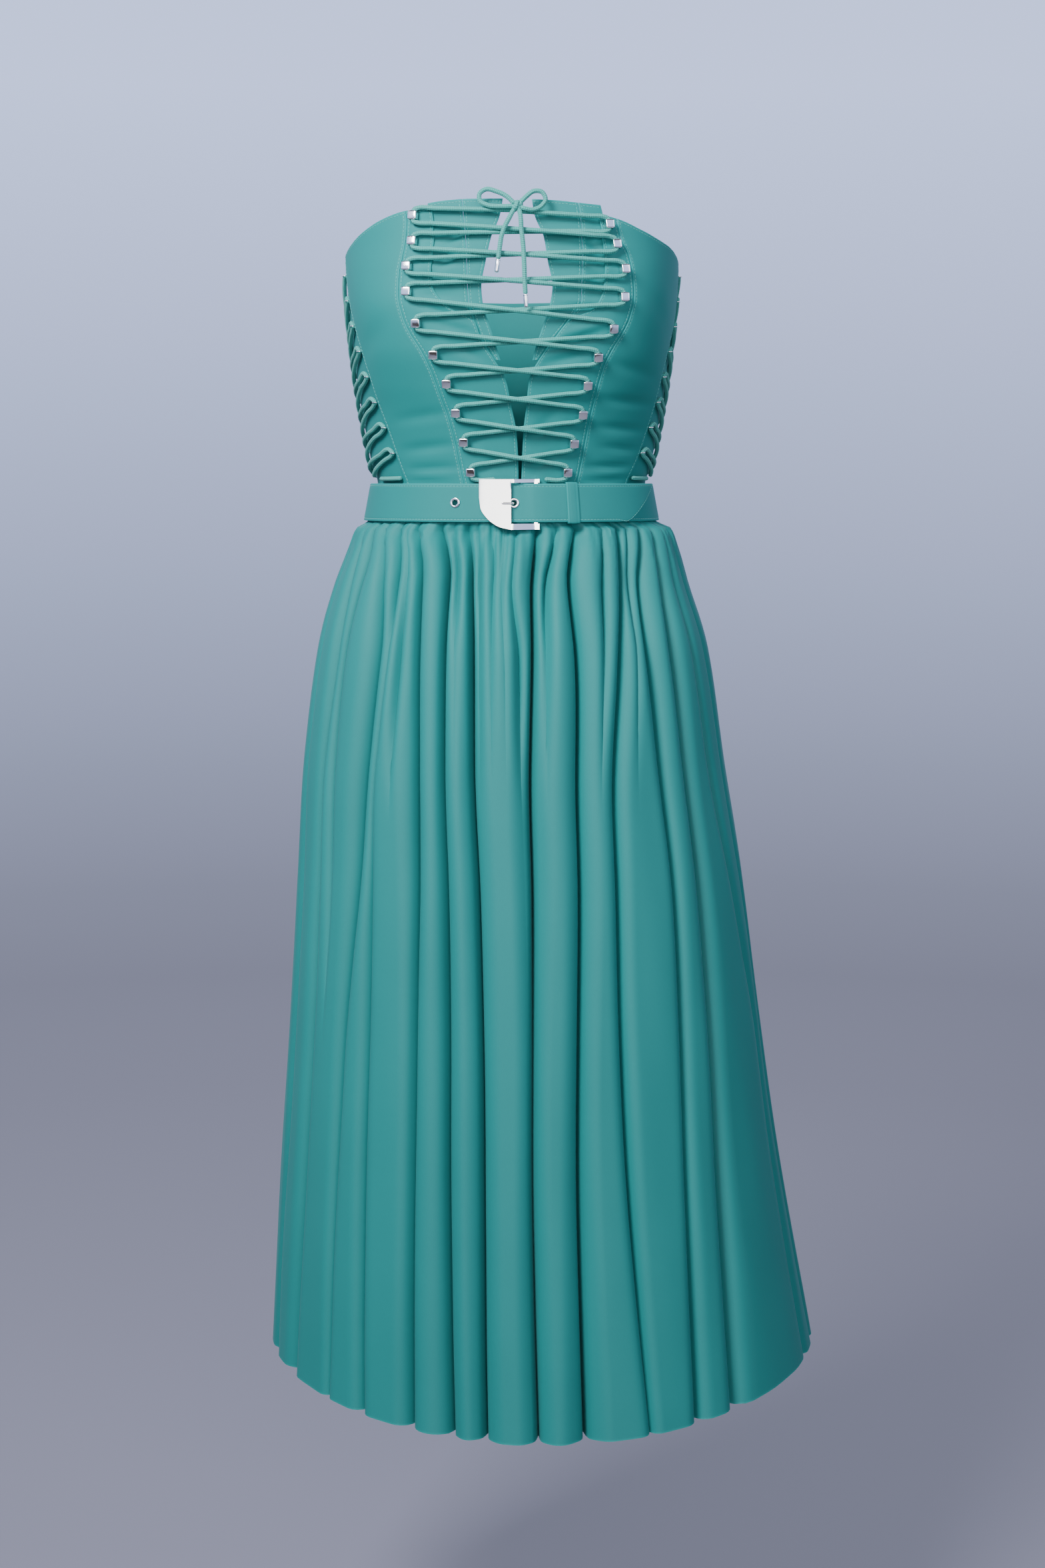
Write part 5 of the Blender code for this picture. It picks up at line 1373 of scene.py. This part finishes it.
def bow_line(table, tucked_ends):
    """Curve through a table's places, with each tucked end carried on into the knot."""
    across, up, out = (np.array(column) * MM for column in zip(*table))
    points = body_across(across, up, out)
    if 0 in tucked_ends:
        points = np.concatenate([[points[0] + (knot_middle - points[0]) * 0.5], points])
    if 1 in tucked_ends:
        points = np.concatenate([points, [points[-1] + (knot_middle - points[-1]) * 0.5]])
    return smooth_line(points, 0.8 * MM)


def round_turn(centre, across_radius, up_radius, out_radius, way, lean=0.0):
    """Closed turn of cord about the knot: an ellipse in the up and out plane, or the across and out one."""
    turn = np.linspace(0, 2 * np.pi, 40, endpoint=False)
    if way == "over":
        axes = [lean * np.sin(turn), -out_radius * np.cos(turn), up_radius * np.sin(turn)]
        place = np.stack(axes, axis=-1)
        outward = (1.0, 0.0, 0.0)
    else:
        axes = [across_radius * np.sin(turn), -out_radius * np.cos(turn), lean * np.sin(turn)]
        place = np.stack(axes, axis=-1)
        outward = (0.0, 0.0, 1.0)
    return tube(centre + place, CORD_RADIUS * 0.97, closed=True, out_ways=outward)


knot_middle = body_across(np.array(KNOT_PLACE[0]), np.array(KNOT_PLACE[1]), np.array(KNOT_OUT))
centre = knot_middle
core = tube(centre + np.array([[-2.6, 0, 0], [-1.6, 0, 0], [0, 0, 0], [1.6, 0, 0], [2.6, 0, 0]]) * MM,
            np.array([0.6, 2.4, 3.0, 2.4, 0.6]) * MM, out_ways=(0.0, -1.0, 0.0))
turns = [
    round_turn(centre + np.array([-0.5, 0, 0]) * MM, 0, 3.0 * MM, 3.4 * MM, "over", 1.1 * MM),
    round_turn(centre + np.array([0.9, 0.5, 0]) * MM, 0, 2.8 * MM, 2.6 * MM, "over", -1.4 * MM),
    round_turn(centre + np.array([0, 0.5, 0.2]) * MM, 3.3 * MM, 0, 2.4 * MM, "round", 1.2 * MM),
]
knot = add_tube("bow_knot_cord", turns + [core], cord)
dress(knot, "bow_knot")
for label, table in (("left", BOW_LOOP_LEFT), ("right", BOW_LOOP_RIGHT)):
    line = bow_line(table, (0, 1))
    loop = add_tube(f"bow_loop_{label}_cord", [tube(line, CORD_RADIUS * ends_in(len(line)))], cord)
    dress(loop, f"bow_loop_{label}")


def make_tail(label, table):
    """A hanging end of the bow, with its metal tip."""
    line = bow_line(table, (0,))
    tail = add_tube(f"bow_tail_{label}_cord", [tube(line, CORD_RADIUS * ends_in(len(line)))], cord)
    dress(tail, f"bow_tail_{label}")
    way = unit(line[-1] - line[-3])
    start = line[-1] + way * SEAM
    far = np.array([0.0, 0.0, 0.3, 0.9, 1.2, 1.5, 5.0, 8.8, 9.6, 10.0, 10.25, 10.3]) * MM
    radius = np.array([0.9, 1.80, 1.90, 1.90, 1.78, 1.88, 1.80, 1.70, 1.62, 1.42, 0.95, 0.3]) * MM
    far[1] = 0.04 * MM
    tip = add_tube(f"aglet_{label}_metal", [tube(start + far[:, None] * way, radius, sides=24)], steel)
    dress(tip, f"aglet_{label}")


make_tail("left", BOW_TAIL_LEFT)
make_tail("right", BOW_TAIL_RIGHT)

# %% [markdown]
# ## The side lacing
# Each side is drawn in by a zigzag of the same cord over the gusset, from the front panel's edge to the
# back panel's and down to the belt. At every turn a small wire ring holds the cord to the edge. The route is
# worked out from the seam tables, so it follows the edges when they are changed.

# %% Side lace
# Side lacing: first turn's height, spacing of the turns, drop from a front turn to the next back turn
SIDE_LACE_TOP = 0.187
SIDE_LACE_SPACING = 20.4 * MM
SIDE_LACE_DROP = 38.0 * MM
SIDE_LACE_TURNS = 8
SIDE_CORD_OUT = 1.5 * MM
SIDE_CORD_RADIUS = 1.8 * MM
SIDE_TURN_REACH = 5.0 * MM
SIDE_TURN_RISE = 2.15 * MM
# Mean radii that turn a length along the cloth into an angle: at the sides, and for seam gaps
SIDE_RADIUS = 0.105
WIRE_RADIUS = 0.38 * MM


def side_turn(side, edge, height, way):
    """Cord's turn beside a panel edge: two level ends and the turn between them."""
    angle = seam_angle(edge, side, height)
    reach = np.array([SIDE_TURN_REACH, 2.6 * MM, SIDE_TURN_REACH])
    rise = np.array([SIDE_TURN_RISE, 0.0, -SIDE_TURN_RISE])
    return body(angle + way * np.degrees(reach / SIDE_RADIUS), height + rise, SIDE_CORD_OUT)


def side_span(start, end):
    """Cord over the gusset from one turn's end to the next, given as angle and height."""
    share = np.linspace(0.0, 1.0, 6)[1:-1]
    angle = start[0] + (end[0] - start[0]) * share
    height = start[1] + (end[1] - start[1]) * share
    return body(angle, height, SIDE_CORD_OUT)


def edge_ring(side, edge, height, way):
    """Wire ring round the cord at a turn: an ellipse in the plane across and out of the cloth."""
    turn = np.linspace(0, 2 * np.pi, 28, endpoint=False)
    reach = (2.0 + 2.75 * np.cos(turn)) * MM
    angle = seam_angle(edge, side, height) + way * np.degrees(reach / SIDE_RADIUS)
    line = body(angle, height + 0 * turn, (1.75 + 2.15 * np.sin(turn)) * MM)
    return tube(line, WIRE_RADIUS, sides=8, closed=True, out_ways=(0.0, 0.0, 1.0))


def make_side_lace(side, label):
    """The lace that zigzags over one gusset through wire rings, and its short last stretch at the belt."""
    line, rings = [], []
    reach = np.degrees(SIDE_TURN_REACH / SIDE_RADIUS)
    for row in range(SIDE_LACE_TURNS):
        front = SIDE_LACE_TOP - row * SIDE_LACE_SPACING
        back = front - SIDE_LACE_DROP
        front_angle = seam_angle(SIDE_FRONT_EDGE, side, front) + side * reach
        back_angle = seam_angle(BACK_EDGE, side, back) - side * reach
        turn = side_turn(side, SIDE_FRONT_EDGE, front, side)
        rings.append(edge_ring(side, SIDE_FRONT_EDGE, front, side))
        line += list(turn) if row else list(turn[1:])
        target = (back_angle, back + SIDE_TURN_RISE)
        if row == SIDE_LACE_TURNS - 1:
            share = (front - SIDE_TURN_RISE - 0.0245) / (front - back - 2 * SIDE_TURN_RISE)
            target = (front_angle + (back_angle - front_angle) * share, 0.0245)
        line += list(side_span((front_angle, front - SIDE_TURN_RISE), target))
        if row == SIDE_LACE_TURNS - 1:
            line.append(body(*target, SIDE_CORD_OUT))
            break
        line += list(side_turn(side, BACK_EDGE, back, -side))
        rings.append(edge_ring(side, BACK_EDGE, back, -side))
        following = front - SIDE_LACE_SPACING
        next_angle = seam_angle(SIDE_FRONT_EDGE, side, following) + side * reach
        leave = (back_angle, back - SIDE_TURN_RISE)
        line += list(side_span(leave, (next_angle, following + SIDE_TURN_RISE)))
    smooth = smooth_line(line)
    lace = add_tube(f"lace_side_{label}_cord", [tube(smooth, SIDE_CORD_RADIUS * ends_in(len(smooth)))], cord)
    dress(lace, f"lace_side_{label}")
    wire = add_tube(f"lace_rings_{label}", rings, steel)
    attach(wire, ROOT)
    low = 0.0238
    edge = seam_angle(SIDE_FRONT_EDGE, side, low) + side * 2.0
    angles = edge + side * np.array([0.0, 6.0, 12.0, 18.0])
    end_line = smooth_line(body(angles, low - np.array([0, 0.5, 0.9, 1.2]) * MM, SIDE_CORD_OUT))
    end_tube = tube(end_line, SIDE_CORD_RADIUS * ends_in(len(end_line)))
    end = add_tube(f"lace_side_end_{label}_cord", [end_tube], cord)
    dress(end, f"lace_side_end_{label}")
    print("side lace", label, round(float(arc(smooth[None], 1)[0, -1]), 3), "m,", len(rings), "rings")


for side, label in ((-1, "left"), (1, "right")):
    make_side_lace(side, label)

# %% [markdown]
# ## The belt
# The belt is one long strap of doubled cloth. It starts under its own outer layer, goes right round, passes
# over the buckle's bar and ends in a slanted tip. It lies on a flat cone, because a straight strap can't bend
# both ways. The eyelet holes are cut with a Boolean, which keeps the thread map, and a cloth loop holds the
# tip down.

# %% Belt surface
BELT_MIDDLE = 2.5 * MM
BELT_HALF_HEIGHT = 15.2 * MM
BELT_CLOTH = 1.8 * MM
# Belt strap's inner face: angle along the strap, distance out from the form in millimetres
STRAP_LIFT = (
    (10.9, 3.3), (60.0, 3.3), (180.0, 3.3), (300.0, 3.3), (345.0, 3.3), (354.0, 3.6), (365.0, 4.4),
    (369.0, 6.0), (371.5, 6.1), (379.0, 5.7), (404.0, 6.0), (450.0, 7.0),
)
STRAP_START = 10.9
STRAP_TIP_LOW = 411.5
STRAP_TIP_HIGH = 436.0
EYELET_ANGLES = (-22.2, -9.9, 1.15)
EYELET_OUTER = 4.15 * MM
EYELET_INNER = 2.25 * MM
EYELET_HEIGHT = 5.4 * MM
KEEPER_FROM = 21.8
KEEPER_TO = 26.6


def belt_point(angle, share, out):
    """Point on the belt's flat cone: share runs from -1 at its lower edge to 1 at its upper edge."""
    middle = BELT_MIDDLE + tilt(angle)
    low = body(angle, middle - BELT_HALF_HEIGHT, out)
    high = body(angle, middle + BELT_HALF_HEIGHT, out)
    rise = (np.asarray(share, dtype=float)[..., None] + 1) / 2
    return low * (1 - rise) + high * rise


def strap_relief(grid):
    """Dents along both long edges and the tip, and slight waves between the rows of stitches."""
    across, up = arc(grid, 1), arc(grid, 0)
    total = up[-1:]
    near = np.minimum(up, total - up)
    tip = across[:, -1:] - across
    face = rolled(near) + pressed(near, 2.0 * MM) + rolled(tip) + pressed(tip, 2.0 * MM)
    wave = 0.10 * MM * np.sin(across / (7.0 * MM) + np.sin(across / (19.0 * MM))) * np.exp(-near / (5.0 * MM))
    rub = np.exp(-((np.minimum(near, tip) / (0.9 * MM)) ** 2))
    return face + wave, rub


share = 2 * stations(2 * BELT_HALF_HEIGHT, 3.0 * MM)[:, None] - 1
plain_angles = np.concatenate([np.arange(STRAP_START, 345, 2.0), np.arange(345, 404, 0.8)])
tip_angles = STRAP_TIP_LOW + (STRAP_TIP_HIGH - STRAP_TIP_LOW) * (share + 1) / 2
tip_angles = tip_angles - 2.4 * np.exp(-(share + 1) / 0.10) - 1.2 * np.exp(-(1 - share) / 0.06)
tip_shares = np.concatenate([np.linspace(0, 0.78, 12)[1:], [0.84, 0.89, 0.93, 0.955, 0.975, 0.99, 1.0]])
tip_angles = plain_angles[-1] + (tip_angles - plain_angles[-1]) * tip_shares[None, :]
angle = np.concatenate([np.broadcast_to(plain_angles, (len(share), len(plain_angles))), tip_angles], axis=1)
out = read(STRAP_LIFT, 1, angle) * MM
plain = belt_point(angle, share + 0 * angle, out + BELT_CLOTH)
relief, rub = strap_relief(plain)
outer = belt_point(angle, share + 0 * angle, out + BELT_CLOTH + relief)
strap = add_wall("belt_strap_cloth", outer, belt_point(angle, share + 0 * angle, out), cloth, worn=rub)
dress(strap, "belt_strap")
stitch_edges(outer, ("low", "high", "last"), "belt", 2.0 * MM)
print("belt cut", declare_cloth(plain))


# %% Belt holes and eyelets
def eyelet_frame(place):
    lift = read(STRAP_LIFT, 1, place + 360) * MM + BELT_CLOTH
    level = (EYELET_HEIGHT - BELT_MIDDLE - tilt(place)) / BELT_HALF_HEIGHT
    centre = belt_point(place, level, lift)
    across = unit(belt_point(place + 1, level, lift) - belt_point(place - 1, level, lift))
    up = unit(belt_point(place, level + 0.2, lift) - belt_point(place, level - 0.2, lift))
    return centre, across, up, unit(np.cross(across, up))


def revolved(centre, across, up, out, radii, heights, sides=40):
    """A closed profile of radii and heights carried round an axis."""
    turn = np.linspace(0, 2 * np.pi, sides, endpoint=False)
    level = np.cos(turn)[:, None] * across + np.sin(turn)[:, None] * up
    points = centre + radii[:, None, None] * level[None] + heights[:, None, None] * out
    rows = len(radii)
    faces = grid_faces(rows + 1, sides, True) % (rows * sides)
    return points.reshape(-1, 3), faces, np.zeros((len(faces), 4, 2))


def cut_round_hole(item, centre, out, radius):
    """Take a round hole out of a wall: a short cylinder is subtracted and the result kept."""
    side_way = unit(np.cross(out, (0.0, 0.0, 1.0)))
    pin = [centre - out * 4 * MM, centre + out * 2 * MM]
    cutter = add_tube("cutter", [tube(pin, radius, sides=32, out_ways=side_way)], cloth)
    modifier = item.modifiers.new("hole", "BOOLEAN")
    modifier.operation = "DIFFERENCE"
    modifier.object = cutter
    bpy.context.view_layer.update()
    done = bpy.data.meshes.new_from_object(item.evaluated_get(bpy.context.evaluated_depsgraph_get()))
    item.modifiers.clear()
    item.data = done
    bpy.data.objects.remove(cutter, do_unlink=True)


inner, outer_radius = EYELET_INNER, EYELET_OUTER
radii = np.array([inner, inner, inner + 0.12 * MM, inner + 0.4 * MM, 3.2 * MM, outer_radius - 0.35 * MM,
                  outer_radius - 0.08 * MM, outer_radius, outer_radius - 0.1 * MM, inner + 0.15 * MM,
                  inner + 0.15 * MM])
heights = np.array([-0.8, 0.45, 0.72, 0.90, 1.0, 0.86, 0.66, 0.46, 0.30, 0.30, -0.8]) * MM
for index, place in enumerate(EYELET_ANGLES):
    centre, across, up, out_way = eyelet_frame(place)
    cut_round_hole(strap, centre, out_way, EYELET_INNER + 0.2 * MM)
    ring = revolved(centre, across, up, out_way, radii, heights)
    eyelet = add_tube(f"belt_eyelet_{index + 1}_metal", [ring], steel)
    dress(eyelet, f"belt_eyelet_{index + 1}")
print("belt faces", len(strap.data.polygons))


# %% Belt loop
def keeper_ring(angle, over, inner_out, outer_out, sides=48):
    """Squared ring round both layers of the belt, as heights and distances out."""
    level, out = squared_ring(over, (outer_out - inner_out) / 2, (outer_out + inner_out) / 2, 9, sides)
    return belt_point(np.full(sides, angle), level, out)


over = 1.0 + 0.4 * MM / BELT_HALF_HEIGHT
wide = 1.0 + 1.5 * MM / BELT_HALF_HEIGHT
half = np.array([0.0, 0.25, 0.6, 1.0, 1.4, 1.8, 2.4, 3.2]) * MM
width = np.radians(KEEPER_TO - KEEPER_FROM) * 0.091
near_edge = np.concatenate([half, (width - half)[::-1]])
face = rolled(half) + pressed(half, 1.4 * MM)
face = np.concatenate([face, face[::-1]])
angles = KEEPER_FROM + (KEEPER_TO - KEEPER_FROM) * near_edge / width
outside = [
    keeper_ring(a, wide + f / BELT_HALF_HEIGHT, 1.9 * MM - f, 9.0 * MM + f) for a, f in zip(angles, face)
]
inside = [keeper_ring(a, over, 2.75 * MM, 7.95 * MM) for a in angles[::-1]]
grid = np.array(outside + inside)
rows, columns = grid.shape[:2]
faces = grid_faces(rows + 1, columns, True) % (rows * columns)
if volume(grid.reshape(-1, 3) - grid.reshape(-1, 3).mean(axis=0), faces) < 0:
    faces = faces[:, ::-1]
keeper = new_object("belt_keeper_cloth", grid, faces, cloth)
threads = np.stack([arc(grid, 0), arc(grid, 1)], axis=-1).reshape(-1, 2)
rub = np.exp(-((np.minimum(near_edge, width - near_edge) / (0.8 * MM)) ** 2))
paint(keeper, threads, np.repeat(np.concatenate([rub, rub]), columns))
dress(keeper, "belt_keeper")

# %% [markdown]
# ## The buckle
# The buckle is a thick polished plate, straight along its top and rounded below, with a window, an arm above
# and a bar below. Its outline is a curve read from a table, and cells of one grid are left out for the
# windows. A Bevel modifier rounds the edges, which is what makes cast metal catch light.

# %% Buckle frame
# Buckle plate: across, height of its lower curved edge (millimetres)
BUCKLE_CURVE = (
    (-25.6, 10.0), (-24.4, 1.0), (-21.0, -4.6), (-16.0, -9.6), (-9.0, -13.6), (0.0, -15.7),
)
BUCKLE_TOP = 24.4
BUCKLE_WINDOW_TOP = 21.6
BUCKLE_WINDOW_LOW = -11.1
BUCKLE_LOW = -15.7
BUCKLE_BAR = (18.6, 21.4)
BUCKLE_THICK = 1.8
BUCKLE_OUT = 7.6
BAR_OUT = 3.4
# Prong's middle line: across, out from the form (millimetres)
PRONG_LINE = (
    (18.2, 4.3), (8.0, 3.0), (4.2, 3.1), (2.6, 4.9), (1.8, 8.2), (0.8, 10.3), (-3.5, 10.6), (-7.5, 10.5),
)


def front_of_belt(x, height, out):
    """Point out from the front of the belt's flat cone, carried on above and below the belt."""
    low = body_across(x, np.full(x.shape, BELT_MIDDLE + WAIST_TILT - BELT_HALF_HEIGHT), out)
    high = body_across(x, np.full(x.shape, BELT_MIDDLE + WAIST_TILT + BELT_HALF_HEIGHT), out)
    rise = (height - BELT_MIDDLE - WAIST_TILT + BELT_HALF_HEIGHT) / (2 * BELT_HALF_HEIGHT)
    depth = low[..., 1] * (1 - rise) + high[..., 1] * rise
    return np.stack([x, depth, height], axis=-1)


def masked_wall(outer, inner, filled):
    """Faces of a closed wall over the filled cells of a grid; a rim stands on each edge used only once."""
    rows, columns = outer.shape[:2]
    face = grid_faces(rows, columns)[filled.ravel()]
    start, end = face.ravel(), np.roll(face, -1, axis=1).ravel()
    size = rows * columns
    once = ~np.isin(end * size + start, start * size + end)
    start, end = start[once], end[once]
    rim = np.stack([end, start, start + size, end + size], axis=-1)
    faces = np.concatenate([face, face[:, ::-1] + size, rim])
    used, renumbered = np.unique(faces, return_inverse=True)
    points = np.concatenate([outer.reshape(-1, 3), inner.reshape(-1, 3)])[used]
    return points, renumbered.reshape(faces.shape)


plate_x = np.concatenate([[-25.6, -25.45, -25.2, -24.8], np.linspace(-24.4, -0.01, 22), [0.0]])
arm_x = np.array([3.0, 6.0, 9.0, 12.0, 15.0, 17.0, 18.6, 20.0, 21.4, 22.2, 22.8])
buckle_x = np.concatenate([plate_x, arm_x])
low = read(BUCKLE_CURVE, 1, buckle_x)
span_up = BUCKLE_TOP - BUCKLE_LOW
first, second = (BUCKLE_WINDOW_LOW - BUCKLE_LOW) / span_up, (BUCKLE_WINDOW_TOP - BUCKLE_LOW) / span_up
shares = np.concatenate([np.linspace(0, first, 3), np.linspace(first, second, 9)[1:], [1.0]])[:, None]
height = low[None, :] + shares * (BUCKLE_TOP - low[None, :])
x = np.broadcast_to(buckle_x[None, :], height.shape)
slope = np.clip(x / BUCKLE_BAR[0], 0, 1)
dome = 0.30 * np.clip(1 - ((x + 10) / 16) ** 2, 0, 1)
out = BUCKLE_OUT + (BAR_OUT - BUCKLE_OUT) * slope
filled = np.ones((len(shares) - 1, len(buckle_x) - 1), dtype=bool)
window_rows = slice(2, len(shares) - 2)
middle_x = (buckle_x[1:] + buckle_x[:-1]) / 2
bar = (middle_x > BUCKLE_BAR[0]) & (middle_x < BUCKLE_BAR[1])
filled[window_rows, (middle_x > 0) & ~bar] = False
face_grid = front_of_belt(x * MM, height * MM, (out + BUCKLE_THICK + dome) * MM)
back_grid = front_of_belt(x * MM, height * MM, out * MM)
points, faces = masked_wall(face_grid, back_grid, filled)
if volume(points - points.mean(axis=0), faces) < 0:
    faces = faces[:, ::-1]
buckle = new_object("buckle_frame_metal", points, faces, steel, 40.0)
bevel = buckle.modifiers.new("rounded edges", "BEVEL")
bevel.width = 0.5 * MM
bevel.segments = 3
bevel.limit_method = "ANGLE"
bevel.angle_limit = np.radians(40)
dress(buckle, "buckle_frame")
print("buckle", len(faces), "faces before its bevel")

# %% Prong
across, out = (np.array(column) * MM for column in zip(*PRONG_LINE))
prong_line = smooth_line(front_of_belt(across, np.full(across.shape, EYELET_HEIGHT), out), 0.4 * MM)
tip = np.clip(arc(prong_line[None, ::-1], 1)[0][::-1] / (1.2 * MM), 0, 1)
round_tip = np.sqrt(1 - (1 - tip) ** 2) * 0.85 + 0.15
prong_tube = tube(prong_line, 0.98 * MM * round_tip, 0.70 * MM * round_tip, 16)
prong = add_tube("buckle_prong_metal", [prong_tube], steel)
dress(prong, "buckle_prong")
print("prong", len(prong.data.polygons), "faces")

# %% [markdown]
# ## Stitching
# Every sewn edge shows a row of short stitches. Each is a tiny closed bar of thread, a few dozen faces that
# numpy places at even steps along the lines kept while the pieces were made. They sit half in the dent that
# the seam presses, and their paler thread is what draws the garment's lines.


# %% Stitches
STITCH_PITCH = 2.9 * MM
STITCH_SIZE = (2.2 * MM, 0.46 * MM, 0.30 * MM)
THREAD_COLOUR = (0.13, 0.60, 0.57, 1.0)

thread_finish, shader = start_finish("sewing_thread", THREAD_COLOUR, 0.6, Sheen_Weight=0.2)
place = add_node(thread_finish, "ShaderNodeTexCoord").outputs["Object"]
ply = add_node(thread_finish, "ShaderNodeTexNoise", Vector=place, Scale=2200.0, Detail=2.0)
tone = add_node(thread_finish, "ShaderNodeMix", {"data_type": "RGBA"}, i0=ply.outputs["Fac"],
                i6=(0.090, 0.460, 0.440, 1.0), i7=(0.170, 0.680, 0.650, 1.0))
link(thread_finish, tone.outputs[2], shader.inputs["Base Color"])


def stitch_bars(line, normal):
    """Bars of thread at even steps along a line: rings of six points, wide in the middle of each stitch."""
    length = arc(line[None], 1)[0]
    middles = np.arange(STITCH_PITCH / 2, length[-1] - STITCH_PITCH / 3, STITCH_PITCH)
    centre, before, after, out = (
        np.column_stack([np.interp(middles + move, length, values[:, k]) for k in range(3)])
        for move, values in ((0, line), (-0.6 * MM, line), (0.6 * MM, line), (0, normal))
    )
    along = (after - before) / np.linalg.norm(after - before, axis=-1, keepdims=True)
    out = out - (out * along).sum(axis=-1, keepdims=True) * along
    out /= np.linalg.norm(out, axis=-1, keepdims=True)
    side_way = np.cross(along, out)
    reach = np.array([-0.5, -0.36, 0.36, 0.5])[:, None] * STITCH_SIZE[0]
    thick = np.array([0.35, 1.0, 1.0, 0.35])[:, None]
    turn = np.linspace(0, 2 * np.pi, 6, endpoint=False)[None, :]
    across = thick * np.cos(turn) * STITCH_SIZE[1] / 2
    up = thick * np.sin(turn) * STITCH_SIZE[2] / 2 + 0.04 * MM
    points = (centre[:, None, None] + reach[None, ..., None] * along[:, None, None]
              + across[None, ..., None] * side_way[:, None, None] + up[None, ..., None] * out[:, None, None])
    one = np.concatenate([grid_faces(4, 6, True)[:, ::-1], cap_faces(6, 0), cap_faces(6, 18)[:, ::-1]])
    faces = (one[None] + 24 * np.arange(len(middles))[:, None, None]).reshape(-1, 4)
    return points.reshape(-1, 3), faces, np.zeros((len(faces), 4, 2))


for where, lines in stitch_lines.items():
    bars = [stitch_bars(line, normal) for line, normal in lines]
    rows = add_tube(f"stitching_{where}", bars, thread_finish, 80.0)
    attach(rows, ROOT)
    print("stitching", where, len(rows.data.polygons) // 22, "stitches")
